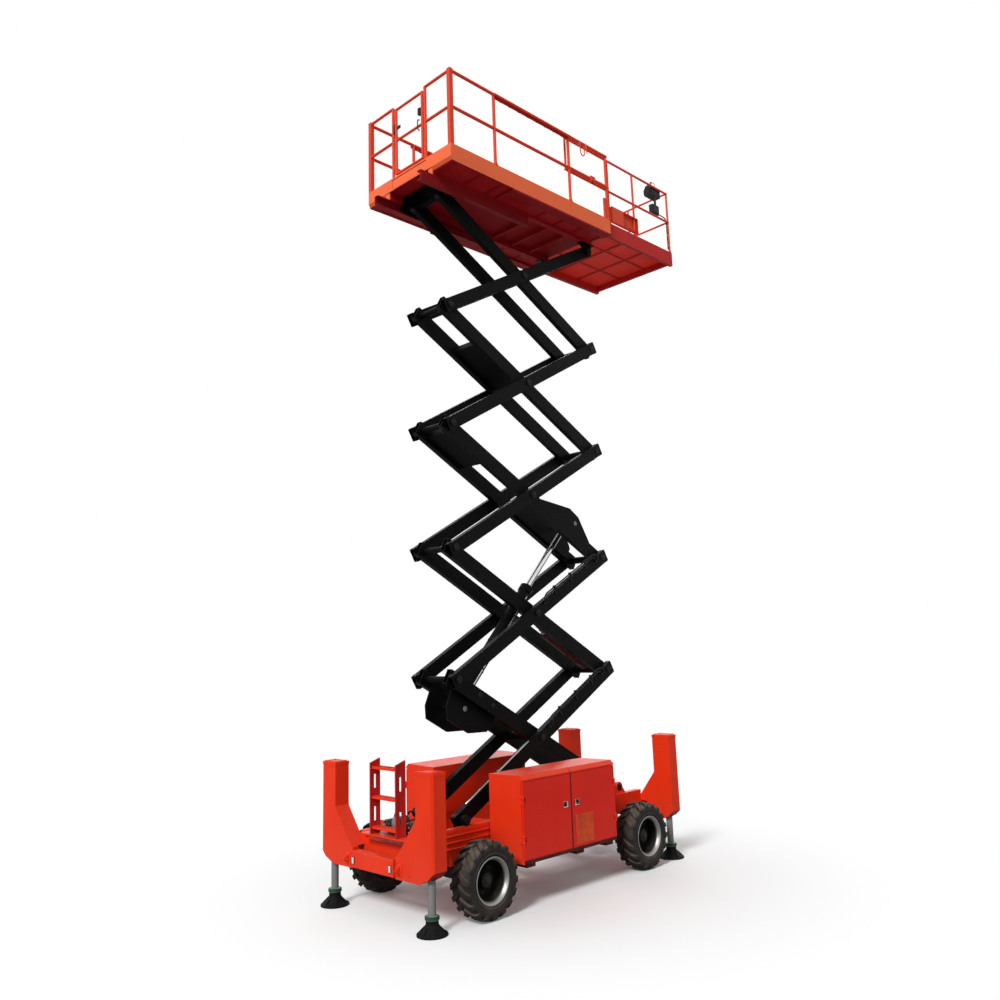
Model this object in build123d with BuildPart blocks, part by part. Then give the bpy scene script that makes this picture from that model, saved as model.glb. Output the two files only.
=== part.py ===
"""Rough-terrain scissor lift on outriggers, with a roll-out deck extension.

Frame: +X towards the roll-out end of the platform (the front), +Y to the left,
+Z up, z = 0 on the ground, x = 0 in the middle of the whole machine's length.
All sizes are in millimetres.
"""
import os
from math import asin, cos, degrees, sin

from build123d import *

os.makedirs("parts", exist_ok=True)

# ---------------------------------------------------------------- driving dimensions
CHASSIS_X = -523            # middle of the wheelbase
GAP = 0.3                   # between curved faces that slide on each other
RUNNING = 0.05              # radial clearance of a pin in its bore

# wheels and axles
WHEEL_X = 1457              # half the wheelbase
WHEEL_Y = 950               # half the track
TYRE_R = 420
TYRE_W = 300
RIM_R = 255
RIM_W = 270
WELL_R = 218                # inside of the rim's barrel
HUB_R = 95
SPINDLE_R = 32
KINGPIN_Y = 735
KINGPIN_R = 24
AXLE_R = 70

# chassis rails and cross members
RAIL_Y = 455                # middle of each chassis rail
RAIL_W = 90
RAIL_Z = (640, 885)         # bottom and top
RAIL_X = 2095               # half length
STRIP_T = 20                # slide strip on the rail

# outrigger posts and legs
POST_X = (2091, 2287)       # inner and outer face, from the middle of the chassis
POST_Y = (758, 1043)
POST_Z = (560, 1655)
POST_WALL = 12
POST_CORNER = 25            # bevel of the outermost upright edge
BAND = 4                    # the cap band stands out this far
LEG_X = 2189
LEG_Y = 900
LEG_R = 44
LEG_TOP = 1150
COLLAR_R = 80
COLLAR_Z = 190
LEG_LIFT = 350              # the leg draws up this far
PAD_R = 170

# side boxes
BOX_X = (-937, 774)
BOX_Y = (519, 1084)
BOX_Z = (490, 1471)
BOX_WALL = 8
DOOR_T = 27
DOOR_GAP = 5
HINGE_IN = 3                # door hinge axis, inwards from the end of the box
HINGE_Z = (764, 1200)
KNUCKLE_R = 11
HINGE_PIN_R = 6

# scissor linkage: one level is an outer and an inner pair of arms
LEVELS = 5
ARM_L = 3350                # pin to pin
ARM_H = {"outer": 175, "inner": 190}
ARM_W = 80
ARM_END = 90                # beyond the end pins
ARM_WALL = 10
ARM_POCKET = 40             # depth of the open square ends
OUTER_Y = 350
INNER_Y = 258
PIN_R = 35
TUBE_R = 50
PIVOT_X = CHASSIS_X + 1655  # the fixed pins, one above the other
PIVOT_Z = 966
PITCH = 1625                # height of one level in this pose
ROLLER_R = 60

ANGLE = asin(PITCH / ARM_L)
REAR_X = PIVOT_X - ARM_L * cos(ANGLE)
MID_X = (PIVOT_X + REAR_X) / 2
TOP_Z = PIVOT_Z + LEVELS * PITCH

# lift cylinder, in the arms' own lines: along the arm from its front pin, and above its middle
CYL_FOOT = (2950, -200)     # on the first inner pair
CYL_EYE = (580, 250)        # on the third inner pair
BARREL_R = 85
ROD_R = 45
BARREL_L = 2100
ROD_L = 2420
EYE_PIN = 181                # half length of the rod's cross pin

# platform
DECK_X = (-1660 + CHASSIS_X, 1651 + CHASSIS_X)
DECK_Y = 895
DECK_UNDER = TOP_Z + 172
DECK_T = 20
TOE_TOP = TOP_Z + 353
RAIL_TOP = TOP_Z + 1453
TUBE = 23                   # guard rail tube radius
SLEEVE = 28                 # thicker rails where the roll-out rails run beside
CHANNEL_Y = (420, 500)

# roll-out deck
EXT_X = (1250 + CHASSIS_X, 3405 + CHASSIS_X)
EXT_Y = 832
EXT_FLOOR = TOP_Z + 237
EXT_LOW = TOP_Z + 108
EXT_RAIL_X = 739 + CHASSIS_X
EXT_RAIL_Y = 812
EXT_TUBE = 18               # its guard rail tube radius


# ---------------------------------------------------------------- small helpers
def finish(piece, name):
    """Label a finished piece and write its STEP file."""
    piece.label = name
    export_step(piece, f"parts/{name}.step")


def block(x, y, z, mode=Mode.ADD):
    """Add a box between two limits along each axis."""
    with Locations(((x[0] + x[1]) / 2, (y[0] + y[1]) / 2, (z[0] + z[1]) / 2)):
        Box(abs(x[1] - x[0]), abs(y[1] - y[0]), abs(z[1] - z[0]), mode=mode)


def cross_pin(x, z, radius, y0, y1, mode=Mode.ADD):
    """Add a round bar along Y between two limits."""
    with BuildSketch(Plane.XZ.offset(-y1)) as section:
        with Locations((x, z)):
            Circle(radius)
    extrude(section.sketch, amount=abs(y1 - y0), mode=mode)


def upright_bar(x, y, radius, z0, z1, mode=Mode.ADD):
    """Add a round bar along Z between two limits."""
    with BuildSketch(Plane.XY.offset(z0)) as section:
        with Locations((x, y)):
            Circle(radius)
    extrude(section.sketch, amount=z1 - z0, mode=mode)


def arm_plane(kind, level):
    """Sketch plane along an arm: origin at its lower pin, x along the arm, y square to it and up."""
    z = PIVOT_Z + (level - 1) * PITCH
    if kind == "outer":
        return Plane(origin=(REAR_X, 0, z), x_dir=(cos(ANGLE), 0, sin(ANGLE)), z_dir=(0, -1, 0))
    return Plane(origin=(PIVOT_X, 0, z), x_dir=(-cos(ANGLE), 0, sin(ANGLE)), z_dir=(0, 1, 0))


def inner_point(level, along, above):
    """World x and z of a point given in an inner arm's own line."""
    x = PIVOT_X - along * cos(ANGLE) + above * sin(ANGLE)
    z = PIVOT_Z + (level - 1) * PITCH + along * sin(ANGLE) + above * cos(ANGLE)
    return x, z


def arm_bars(kind, level, y):
    """Add the left and right bar of an arm pair."""
    for side in (1, -1):
        plane = arm_plane(kind, level)
        plane.origin = (plane.origin.X, side * y, plane.origin.Z)
        with BuildSketch(plane) as section:
            with Locations((ARM_L / 2, 0)):
                Rectangle(ARM_L + 2 * ARM_END, ARM_H[kind])
        extrude(section.sketch, amount=ARM_W / 2, both=True)
        # open square ends
        with BuildSketch(plane) as ends:
            for along in (-ARM_END, ARM_L + ARM_END):
                with Locations((along, 0)):
                    Rectangle(2 * ARM_POCKET, ARM_H[kind] - 2 * ARM_WALL)
        extrude(ends.sketch, amount=ARM_W / 2 - ARM_WALL, both=True, mode=Mode.SUBTRACT)


def lug_plates(level, y, half, *outline):
    """Add a pair of flat plates beside an inner arm pair, drawn along the arm and above its middle."""
    for side in (1, -1):
        plane = arm_plane("inner", level)
        plane.origin = (plane.origin.X, side * y, plane.origin.Z)
        with BuildSketch(plane) as section:
            with BuildLine():
                Polyline(*outline, close=True)
            make_face()
        extrude(section.sketch, amount=half, both=True)


def deck_plate(level, along0, along1, half_y, thick=100):
    """Add the box plate that ties the two bars of an inner arm pair together."""
    with BuildSketch(arm_plane("inner", level)) as section:
        with Locations(((along0 + along1) / 2, 0)):
            Rectangle(along1 - along0, thick)
    extrude(section.sketch, amount=half_y, both=True)


def drill(x, z, radius, y0, y1):
    """Cut a bore along Y on both sides of the machine."""
    for side in (1, -1):
        cross_pin(x, z, radius, min(side * y0, side * y1), max(side * y0, side * y1), Mode.SUBTRACT)


def pins(x, z, radius, y0, y1):
    """Add a stub pin along Y on both sides of the machine."""
    for side in (1, -1):
        cross_pin(x, z, radius, min(side * y0, side * y1), max(side * y0, side * y1))


# ---------------------------------------------------------------- chassis
with BuildPart() as chassis_frame:
    for side in (1, -1):
        block((CHASSIS_X - RAIL_X, CHASSIS_X + RAIL_X),
              (side * (RAIL_Y - RAIL_W / 2), side * (RAIL_Y + RAIL_W / 2)), RAIL_Z)
        # slide strip for the foot rollers, with an end stop at each end
        strip_x = (CHASSIS_X - 1790, CHASSIS_X + 90)
        block(strip_x, (side * 415, side * 490), (RAIL_Z[1], RAIL_Z[1] + STRIP_T))
        for stop_x in strip_x:
            block((stop_x - 12, stop_x + 12), (side * 415, side * 490), (RAIL_Z[1], RAIL_Z[1] + 60))
        # lug of the fixed foot pivot
        with BuildSketch(Plane.XZ.offset(-side * 445)):
            with BuildLine():
                Polyline((PIVOT_X - 130, RAIL_Z[1]), (PIVOT_X - 70, PIVOT_Z), (PIVOT_X + 70, PIVOT_Z),
                         (PIVOT_X + 130, RAIL_Z[1]), close=True)
            make_face()
            with Locations((PIVOT_X, PIVOT_Z)):
                Circle(72)
        extrude(amount=18, both=True)
        # brackets that carry the side box
        for x in (BOX_X[0] + 150, BOX_X[1] - 150):
            block((CHASSIS_X + x - 50, CHASSIS_X + x + 50), (side * 500, side * 519), (680, 860))
        # hangers down to the axles
        for x in (-WHEEL_X, WHEEL_X):
            block((CHASSIS_X + x - 90, CHASSIS_X + x + 90),
                  (side * (RAIL_Y - 40), side * (RAIL_Y + 40)), (420 + AXLE_R + 12, RAIL_Z[0]))
    for x in (-2050, -500, 600, 1500, 2050):
        block((CHASSIS_X + x - 45, CHASSIS_X + x + 45), (-RAIL_Y + 20, RAIL_Y - 20), (650, 800))
finish(chassis_frame.part, "chassis_frame")

# pivot shaft of the first inner arms, held by the two lugs
with BuildPart() as foot_shaft:
    cross_pin(PIVOT_X, PIVOT_Z, PIN_R, -427, 427)
    for side in (1, -1):
        pins(PIVOT_X, PIVOT_Z, PIN_R + 20, 300, 306)
finish(foot_shaft.part, "foot_pivot_shaft")

# ---------------------------------------------------------------- end beams between the outrigger posts
BEAM_TOP = 735
GUSSET = (1150, 330)        # top of the gusset on the post, and its reach inwards from the post
BUMPER_Y = 400
BUMPER_Z = (515, 700)
for end, name in ((-1, "rear_beam"), (1, "front_beam")):
    outer = CHASSIS_X + end * POST_X[1]
    inner = CHASSIS_X + end * (POST_X[0] + 4)
    with BuildPart() as end_beam:
        with BuildSketch(Plane.YZ.offset(min(outer, inner))):
            with BuildLine():
                Polyline((-POST_Y[0], 500), (-POST_Y[0], GUSSET[0]), (-POST_Y[0] + GUSSET[1], BEAM_TOP),
                         (POST_Y[0] - GUSSET[1], BEAM_TOP), (POST_Y[0], GUSSET[0]), (POST_Y[0], 500), close=True)
            make_face()
        extrude(amount=abs(outer - inner))
        # the bumper is a box of its own below an opening
        block((outer, inner), (-BUMPER_Y, BUMPER_Y), (BUMPER_Z[1], BEAM_TOP), Mode.SUBTRACT)
        block((outer, outer - end * 75), (-BUMPER_Y, BUMPER_Y), (500, BUMPER_Z[1]), Mode.SUBTRACT)
        block((outer + end * 30, outer - end * 80), (-BUMPER_Y + 10, BUMPER_Y - 10), BUMPER_Z)
        front_face = end_beam.faces().sort_by(Axis.X)[-1 if end > 0 else 0]
        chamfer(front_face.edges(), 8)
        # open space behind the plate
        block((inner, inner + end * 110), (-600, 600), (560, BEAM_TOP), Mode.SUBTRACT)
    finish(end_beam.part, name)

# tie-down lugs on the outer faces of the end beams
LUG_Y = 480
LUG_T = 20
LUG_Z = 600
LUG_OUT = 38                # bore, outwards from the beam
LUG_BORE_R = 16
with BuildPart() as tie_down_lugs:
    for end in (-1, 1):
        face_x = CHASSIS_X + end * POST_X[1]
        for side in (1, -1):
            with BuildSketch(Plane.XZ.offset(-side * LUG_Y)) as lug:
                with BuildLine():
                    Line((face_x, LUG_Z - 55), (face_x + end * LUG_OUT, LUG_Z - 30))
                    ThreePointArc((face_x + end * LUG_OUT, LUG_Z - 30), (face_x + end * (LUG_OUT + 30), LUG_Z),
                                  (face_x + end * LUG_OUT, LUG_Z + 30))
                    Polyline((face_x + end * LUG_OUT, LUG_Z + 30), (face_x, LUG_Z + 55), (face_x, LUG_Z - 55))
                make_face()
                with Locations((face_x + end * LUG_OUT, LUG_Z)):
                    Circle(LUG_BORE_R, mode=Mode.SUBTRACT)
            extrude(lug.sketch, amount=LUG_T / 2, both=True)
finish(tie_down_lugs.part, "tie_down_lugs")

# ---------------------------------------------------------------- entry ladder at the rear
LADDER_Y = (-365, 110)
with BuildPart() as entry_ladder:
    for y in LADDER_Y:
        with BuildSketch(Plane.XZ.offset(-y)):
            with BuildLine():
                Polyline((CHASSIS_X - 2250, 905), (CHASSIS_X - 2110, 905), (CHASSIS_X - 2110, 1735),
                         (CHASSIS_X - 2250, 1690), close=True)
            make_face()
            with Locations((CHASSIS_X - 2180, 1480), (CHASSIS_X - 2180, 1120)):
                SlotOverall(200, 60, rotation=90, mode=Mode.SUBTRACT)
        extrude(amount=6, both=True)
    for z in (960, 1290, 1620):
        block((CHASSIS_X - 2235, CHASSIS_X - 2125), (LADDER_Y[0] + 6, LADDER_Y[1] - 6), (z, z + 28))
    # shelf that the ladder stands on
    block((CHASSIS_X - 2260, CHASSIS_X - 1900), (LADDER_Y[0] - 175, LADDER_Y[1] + 175), (889, 905))
finish(entry_ladder.part, "entry_ladder")

# hydraulic pump set on the shelf behind the ladder
with BuildPart() as pump_set:
    for y, z, r in ((-130, 1010, 75), (40, 985, 60), (-330, 985, 60)):
        with BuildSketch(Plane.YZ.offset(CHASSIS_X - 2060)):
            with Locations((y, z)):
                Circle(r)
        extrude(amount=150)
    block((CHASSIS_X - 2040, CHASSIS_X - 1930), (-340, 50), (905, 960))
finish(pump_set.part, "pump_set")

# ---------------------------------------------------------------- outrigger posts and legs
for end, end_name in ((-1, "rear"), (1, "front")):
    for side, side_name in ((1, "left"), (-1, "right")):
        x_in = CHASSIS_X + end * POST_X[0]
        x_out = CHASSIS_X + end * POST_X[1]
        leg = (CHASSIS_X + end * LEG_X, side * LEG_Y)
        with BuildPart() as post:
            with BuildSketch(Plane.YZ.offset(min(x_in, x_out))):
                with BuildLine():
                    Polyline((side * POST_Y[0], 500), (side * POST_Y[0], POST_Z[1]), (side * POST_Y[1], POST_Z[1]),
                             (side * POST_Y[1], 640), (side * (POST_Y[1] - 90), 560), (side * (POST_Y[0] + 40), 500),
                             close=True)
                make_face()
            extrude(amount=POST_X[1] - POST_X[0])
            edges_up = post.edges().filter_by(Axis.Z).group_by(Axis.X)[0 if end < 0 else -1]
            chamfer(edges_up.sort_by(Axis.Y)[-1 if side > 0 else 0], POST_CORNER)
            # cap band round the head
            near, far = x_in - end * BAND, x_out + end * BAND
            inside, outside = side * (POST_Y[0] - BAND), side * (POST_Y[1] + BAND)
            with BuildSketch(Plane.XY.offset(POST_Z[1] - 34)) as band:
                with BuildLine():
                    Polyline((near, inside), (far, inside), (far, outside - side * POST_CORNER),
                             (far - end * POST_CORNER, outside), (near, outside), close=True)
                make_face()
            extrude(band.sketch, amount=30)
            # hollow above and below the guide of the leg
            block((x_in + end * POST_WALL, x_out - end * POST_WALL),
                  (side * (POST_Y[0] + POST_WALL), side * (POST_Y[1] - POST_WALL)),
                  (720, POST_Z[1] - POST_WALL), Mode.SUBTRACT)
            upright_bar(*leg, LEG_R + GAP, 450, 730, Mode.SUBTRACT)
            # the collar of the drawn-up leg goes into this recess
            upright_bar(*leg, COLLAR_R + 5, 450, COLLAR_Z + LEG_LIFT + 16, Mode.SUBTRACT)
        finish(post.part, f"outrigger_post_{end_name}_{side_name}")

        with BuildPart() as outrigger_leg:
            upright_bar(*leg, LEG_R, 150, LEG_TOP)
            # domed foot pad, collar and lock nut
            with BuildSketch(Plane.XZ):
                with BuildLine():
                    Line((0, 0), (PAD_R, 0))
                    Line((PAD_R, 0), (PAD_R, 18))
                    ThreePointArc((PAD_R, 18), (PAD_R * 0.62, 62), (70, 112))
                    Polyline((70, 112), (70, 150), (COLLAR_R, 158), (COLLAR_R, COLLAR_Z), (LEG_R, COLLAR_Z + 10),
                             (0, COLLAR_Z + 10), (0, 0))
                make_face()
            foot = revolve(axis=Axis.Z, mode=Mode.PRIVATE)
            with Locations((leg[0], leg[1], 0)):
                add(foot)
        finish(outrigger_leg.part, f"outrigger_leg_{end_name}_{side_name}")

# ---------------------------------------------------------------- axles
with BuildPart() as rear_axle:
    cross_pin(CHASSIS_X - WHEEL_X, TYRE_R, AXLE_R, -780, 780)
    with Locations((CHASSIS_X - WHEEL_X, 0, TYRE_R)):
        Sphere(165)
    for side in (1, -1):
        pins(CHASSIS_X - WHEEL_X, TYRE_R, 110, 770, 795)
        pins(CHASSIS_X - WHEEL_X, TYRE_R, SPINDLE_R, 795, 985)
        block((CHASSIS_X - WHEEL_X - 80, CHASSIS_X - WHEEL_X + 80), (side * 425, side * 485),
              (TYRE_R + 30, TYRE_R + AXLE_R + 12))
finish(rear_axle.part, "rear_axle")

with BuildPart() as front_axle:
    cross_pin(CHASSIS_X + WHEEL_X, TYRE_R, AXLE_R, -640, 640)
    with Locations((CHASSIS_X + WHEEL_X, 0, TYRE_R)):
        Sphere(165)
    for side in (1, -1):
        block((CHASSIS_X + WHEEL_X - 80, CHASSIS_X + WHEEL_X + 80), (side * 425, side * 485),
              (TYRE_R + 30, TYRE_R + AXLE_R + 12))
        block((CHASSIS_X + WHEEL_X - 60, CHASSIS_X + WHEEL_X + 60), (side * 620, side * 660),
              (TYRE_R - 130, TYRE_R + 130))
        for z in (TYRE_R + 100, TYRE_R - 130):
            with BuildSketch(Plane.XY.offset(z)):
                with Locations((CHASSIS_X + WHEEL_X, side * (KINGPIN_Y + 640) / 2)):
                    Rectangle(120, KINGPIN_Y - 640)
                with Locations((CHASSIS_X + WHEEL_X, side * KINGPIN_Y)):
                    Circle(60)
            extrude(amount=30)
        upright_bar(CHASSIS_X + WHEEL_X, side * KINGPIN_Y, KINGPIN_R, TYRE_R - 130, TYRE_R + 130)
finish(front_axle.part, "front_axle")

for side, side_name in ((1, "left"), (-1, "right")):
    with BuildPart() as knuckle:
        upright_bar(CHASSIS_X + WHEEL_X, side * KINGPIN_Y, 52, TYRE_R - 94, TYRE_R + 94)
        y = (side * KINGPIN_Y, side * 795)
        cross_pin(CHASSIS_X + WHEEL_X, TYRE_R, 50, min(y), max(y))
        pins_y = (side * 781, side * 795)
        cross_pin(CHASSIS_X + WHEEL_X, TYRE_R, 90, min(pins_y), max(pins_y))
        stub = (side * 795, side * 985)
        cross_pin(CHASSIS_X + WHEEL_X, TYRE_R, SPINDLE_R, min(stub), max(stub))
        upright_bar(CHASSIS_X + WHEEL_X, side * KINGPIN_Y, KINGPIN_R + RUNNING, 200, 700, Mode.SUBTRACT)
    finish(knuckle.part, f"steering_knuckle_{side_name}")

# ---------------------------------------------------------------- wheels
for end, end_name in ((-1, "rear"), (1, "front")):
    for side, side_name in ((1, "left"), (-1, "right")):
        middle = (CHASSIS_X + end * WHEEL_X, side * WHEEL_Y, TYRE_R)
        # profiles: radius, and distance outwards from the middle of the tyre
        section = Plane(origin=middle, x_dir=(1, 0, 0), z_dir=(0, 0, side))
        spin = Axis(middle, (0, side, 0))
        with BuildPart() as rim:
            with BuildSketch(section):
                with BuildLine():
                    Polyline((SPINDLE_R + RUNNING, -145), (HUB_R, -145), (HUB_R, -70), (WELL_R - 20, -70),
                             (WELL_R, -RIM_W / 2), (RIM_R, -RIM_W / 2), (RIM_R, RIM_W / 2),
                             (RIM_R - 14, RIM_W / 2), (WELL_R + 4, RIM_W / 2 - 30), (WELL_R, -45), (HUB_R + 15, -45),
                             (HUB_R + 5, -10), (HUB_R - 10, 40), (SPINDLE_R + RUNNING, 40), close=True)
                make_face()
            revolve(axis=spin)
        finish(rim.part, f"rim_{end_name}_{side_name}")
        with BuildPart() as tyre:
            with BuildSketch(section):
                with BuildLine():
                    Polyline((RIM_R + 0.5, -RIM_W / 2), (RIM_R + 30, -TYRE_W / 2 + 6), (TYRE_R - 60, -TYRE_W / 2),
                             (TYRE_R - 12, -TYRE_W / 2 + 25), (TYRE_R, -TYRE_W / 2 + 70), (TYRE_R, TYRE_W / 2 - 70),
                             (TYRE_R - 12, TYRE_W / 2 - 25), (TYRE_R - 60, TYRE_W / 2), (RIM_R + 30, TYRE_W / 2 - 6),
                             (RIM_R + 0.5, RIM_W / 2), close=True)
                make_face()
            revolve(axis=spin)
        finish(tyre.part, f"tyre_{end_name}_{side_name}")

# ---------------------------------------------------------------- side boxes and their doors
for side, side_name in ((1, "left"), (-1, "right")):
    x0, x1 = CHASSIS_X + BOX_X[0], CHASSIS_X + BOX_X[1]
    y_in, y_out = side * BOX_Y[0], side * (BOX_Y[1] - DOOR_T - DOOR_GAP)
    with BuildPart() as side_box:
        with BuildSketch(Plane.YZ.offset(x0)):
            with BuildLine():
                Polyline((y_in, BOX_Z[0]), (y_in, BOX_Z[1] - 10), (side * (BOX_Y[1] - 45), BOX_Z[1]),
                         (side * BOX_Y[1], BOX_Z[1] - 45), (side * BOX_Y[1], BOX_Z[1] - 62),
                         (y_out, BOX_Z[1] - 62), (y_out, BOX_Z[0] + 40),
                         (side * (BOX_Y[1] - 6), BOX_Z[0] + 40), (side * (BOX_Y[1] - 6), BOX_Z[0]), close=True)
            make_face()
        extrude(amount=x1 - x0)
        block((x0 + BOX_WALL, x1 - BOX_WALL), (y_in + side * BOX_WALL, side * BOX_Y[1]),
              (BOX_Z[0] + 48, BOX_Z[1] - 70), Mode.SUBTRACT)
        # post between the two doors
        block((CHASSIS_X - 110, CHASSIS_X - 60), (side * (BOX_Y[1] - 70), y_out), (BOX_Z[0] + 40, BOX_Z[1] - 60))
        # feet under the box
        for x in (BOX_X[0] + 60, 0, BOX_X[1] - 200):
            block((CHASSIS_X + x, CHASSIS_X + x + 140), (side * (BOX_Y[0] + 40), side * (BOX_Y[1] - 25)),
                  (BOX_Z[0] - 45, BOX_Z[0]))
        # grab handle on the front wall
        for z in (950, 1105):
            block((x1, x1 + 250), (side * 880, side * 904), (z, z + 24))
        block((x1 + 226, x1 + 250), (side * 880, side * 904), (974, 1105))
        # fixed half of each door hinge: two knuckles on leaves, and the pin through them
        for wall, hinge_x in ((x0, x0 + HINGE_IN), (x1, x1 - HINGE_IN)):
            away = -6 if wall == x0 else 6
            for z in HINGE_Z:
                for low, high in ((z - 45, z - 21), (z + 21, z + 45)):
                    block((wall, wall + away), (side * 1000, side * BOX_Y[1]), (low, high))
                    upright_bar(hinge_x, side * BOX_Y[1], KNUCKLE_R, low, high)
                upright_bar(hinge_x, side * BOX_Y[1], HINGE_PIN_R, z - 45, z + 45)
    finish(side_box.part, f"side_box_{side_name}")
    door_z = (BOX_Z[0] + 46, BOX_Z[1] - 68)
    seam = CHASSIS_X - 85
    for end, end_name, door_x in ((-1, "rear", (x0 + HINGE_IN, seam - 3)), (1, "front", (seam + 3, x1 - HINGE_IN))):
        hinge = (door_x[0] if end < 0 else door_x[1], side * BOX_Y[1])
        with BuildPart() as door:
            block(door_x, (y_out + side * DOOR_GAP, side * BOX_Y[1]), door_z)
            # moving half of each hinge, in notches that clear the fixed knuckles
            for z in HINGE_Z:
                upright_bar(*hinge, KNUCKLE_R + 1, z - 46, z + 46, Mode.SUBTRACT)
                upright_bar(*hinge, KNUCKLE_R, z - 20, z + 20)
                block((hinge[0], hinge[0] - end * (KNUCKLE_R + 8)), (hinge[1], hinge[1] - side * 8), (z - 20, z + 20))
                upright_bar(*hinge, HINGE_PIN_R + RUNNING, z - 46, z + 46, Mode.SUBTRACT)
            # round latch near the middle of the box
            latch = (seam + end * 90, side * BOX_Y[1])
            with BuildSketch(Plane(origin=(latch[0], latch[1], 1055), x_dir=(1, 0, 0), z_dir=(0, side, 0))):
                Circle(38)
            extrude(amount=-6, mode=Mode.SUBTRACT)
        finish(door.part, f"box_door_{side_name}_{end_name}")

# heavy masses that stand inside the boxes
with BuildPart() as engine_block:
    block((CHASSIS_X - 700, CHASSIS_X + 350), (-960, -570), (545, 1150))
finish(engine_block.part, "engine_block")
with BuildPart() as oil_tank:
    block((CHASSIS_X - 650, CHASSIS_X + 100), (570, 940), (545, 1150))
finish(oil_tank.part, "oil_tank")

# ---------------------------------------------------------------- scissor arms
TIE_PLATE = {3: (2540, 3260), 4: (1760, 2640)}      # level: limits along the inner arms


def doubler(along0, along1):
    """Outline of the strip that stiffens an arm behind its lug plate."""
    return (along0, -60), (along0, 60), (along1, 60), (along1, -60)


for level in range(1, LEVELS + 1):
    low = PIVOT_Z + (level - 1) * PITCH
    high = low + PITCH
    mid = low + PITCH / 2

    with BuildPart() as outer_arms:
        arm_bars("outer", level, OUTER_Y)
        drill(MID_X, mid, PIN_R + RUNNING, 300, 400)
        if level == 1:
            # foot pins with the rollers that run on the chassis strips
            pins(REAR_X, low, PIN_R, 385, 480)
            pins(REAR_X, low, ROLLER_R, 420, 480)
        else:
            drill(REAR_X, low, PIN_R + RUNNING, 300, 400)
        # cross tube at the front joint
        if level < LEVELS:
            pins(PIVOT_X, high, PIN_R, 200, 320)
            cross_pin(PIVOT_X, high, TUBE_R, -212, 212)
        else:
            pins(PIVOT_X, high, PIN_R, 385, 436)
            cross_pin(PIVOT_X, high, TUBE_R, -312, 312)
    finish(outer_arms.part, f"outer_arms_{level}")

    with BuildPart() as inner_arms:
        arm_bars("inner", level, INNER_Y)
        drill(PIVOT_X, low, PIN_R + RUNNING, 200, 320)
        pins(MID_X, mid, PIN_R, 290, 398)
        if level in (1, 5):
            cross_pin(MID_X, mid, TUBE_R, -222, 222)
        reach = 398 if level < LEVELS else 440
        pins(REAR_X, high, PIN_R, 290, reach)
        cross_pin(REAR_X, high, 40, -222, 222)
        if level == 1:
            # foot bracket of the lift cylinder
            lug_plates(1, 200, 12, (2400, 30), (2480, -295), (2760, -440), (3150, -440), (3240, -300), (3270, 30))
            lug_plates(1, 204, 16, *doubler(2430, 3250))
            foot_x, foot_z = inner_point(1, *CYL_FOOT)
            cross_pin(foot_x, foot_z, PIN_R + 5, -190, 190)
        if level == 3:
            # hump that carries the rod's pin
            lug_plates(3, 200, 12, (150, -60), (150, 120), (190, 165), (560, 375), (780, 390), (1370, 160), (1500, -60))
            lug_plates(3, 204, 16, *doubler(170, 1470))
        if level in TIE_PLATE:
            deck_plate(level, *TIE_PLATE[level], 222)
    finish(inner_arms.part, f"inner_arms_{level}")

# stowed maintenance prop, clamped between the second inner arms
PROP = {"y": -95, "along": (200, 1150), "radius": 92, "tip": 180, "tip_radius": 32}
prop_dir = Vector(arm_plane("inner", 2).x_dir)
prop_x, prop_z = inner_point(2, PROP["along"][0], 0)
prop_start = Vector(prop_x, PROP["y"], prop_z)
prop_length = PROP["along"][1] - PROP["along"][0]
with BuildPart() as maintenance_prop:
    with BuildSketch(Plane(origin=prop_start, x_dir=(0, 1, 0), z_dir=prop_dir)):
        Circle(PROP["radius"])
    extrude(amount=prop_length)
    with BuildSketch(Plane(origin=prop_start + prop_dir * prop_length, x_dir=(0, 1, 0), z_dir=prop_dir)):
        Circle(PROP["tip_radius"])
    extrude(amount=PROP["tip"])
    # clamps to the right-hand arm
    for along in (390, 1000):
        clamp_plane = arm_plane("inner", 2)
        clamp_plane.origin = (clamp_plane.origin.X, -178, clamp_plane.origin.Z)
        with BuildSketch(clamp_plane):
            with Locations((along, 0)):
                Rectangle(60, 60)
        extrude(amount=40, both=True)
finish(maintenance_prop.part, "maintenance_prop")

# ---------------------------------------------------------------- lift cylinder
foot_x, foot_z = inner_point(1, *CYL_FOOT)
eye_x, eye_z = inner_point(3, *CYL_EYE)
cyl_len = ((eye_x - foot_x) ** 2 + (eye_z - foot_z) ** 2) ** 0.5
cyl_dir = Vector((eye_x - foot_x) / cyl_len, 0, (eye_z - foot_z) / cyl_len)
print("lift cylinder foot", round(foot_x, 1), round(foot_z, 1), "eye", round(eye_x, 1), round(eye_z, 1),
      "length", round(cyl_len, 1), "axis", [round(v, 5) for v in (cyl_dir.X, cyl_dir.Z)])


def cyl_plane(along):
    """Sketch plane square to the lift cylinder, at a distance from its foot pin."""
    return Plane(origin=(foot_x + cyl_dir.X * along, 0, foot_z + cyl_dir.Z * along), x_dir=(0, 1, 0),
                 z_dir=(cyl_dir.X, 0, cyl_dir.Z))


with BuildPart() as lift_barrel:
    cross_pin(foot_x, foot_z, 85, -70, 70)
    with BuildSketch(cyl_plane(40)):
        Circle(BARREL_R)
    extrude(amount=BARREL_L - 40)
    with BuildSketch(cyl_plane(BARREL_L - 90)):
        Circle(BARREL_R + 12)
    extrude(amount=90)
    with BuildSketch(cyl_plane(95)):
        Circle(ROD_R + GAP)
    extrude(amount=BARREL_L, mode=Mode.SUBTRACT)
    cross_pin(foot_x, foot_z, PIN_R + 5 + RUNNING, -100, 100, Mode.SUBTRACT)
finish(lift_barrel.part, "lift_cylinder_barrel")

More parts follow.
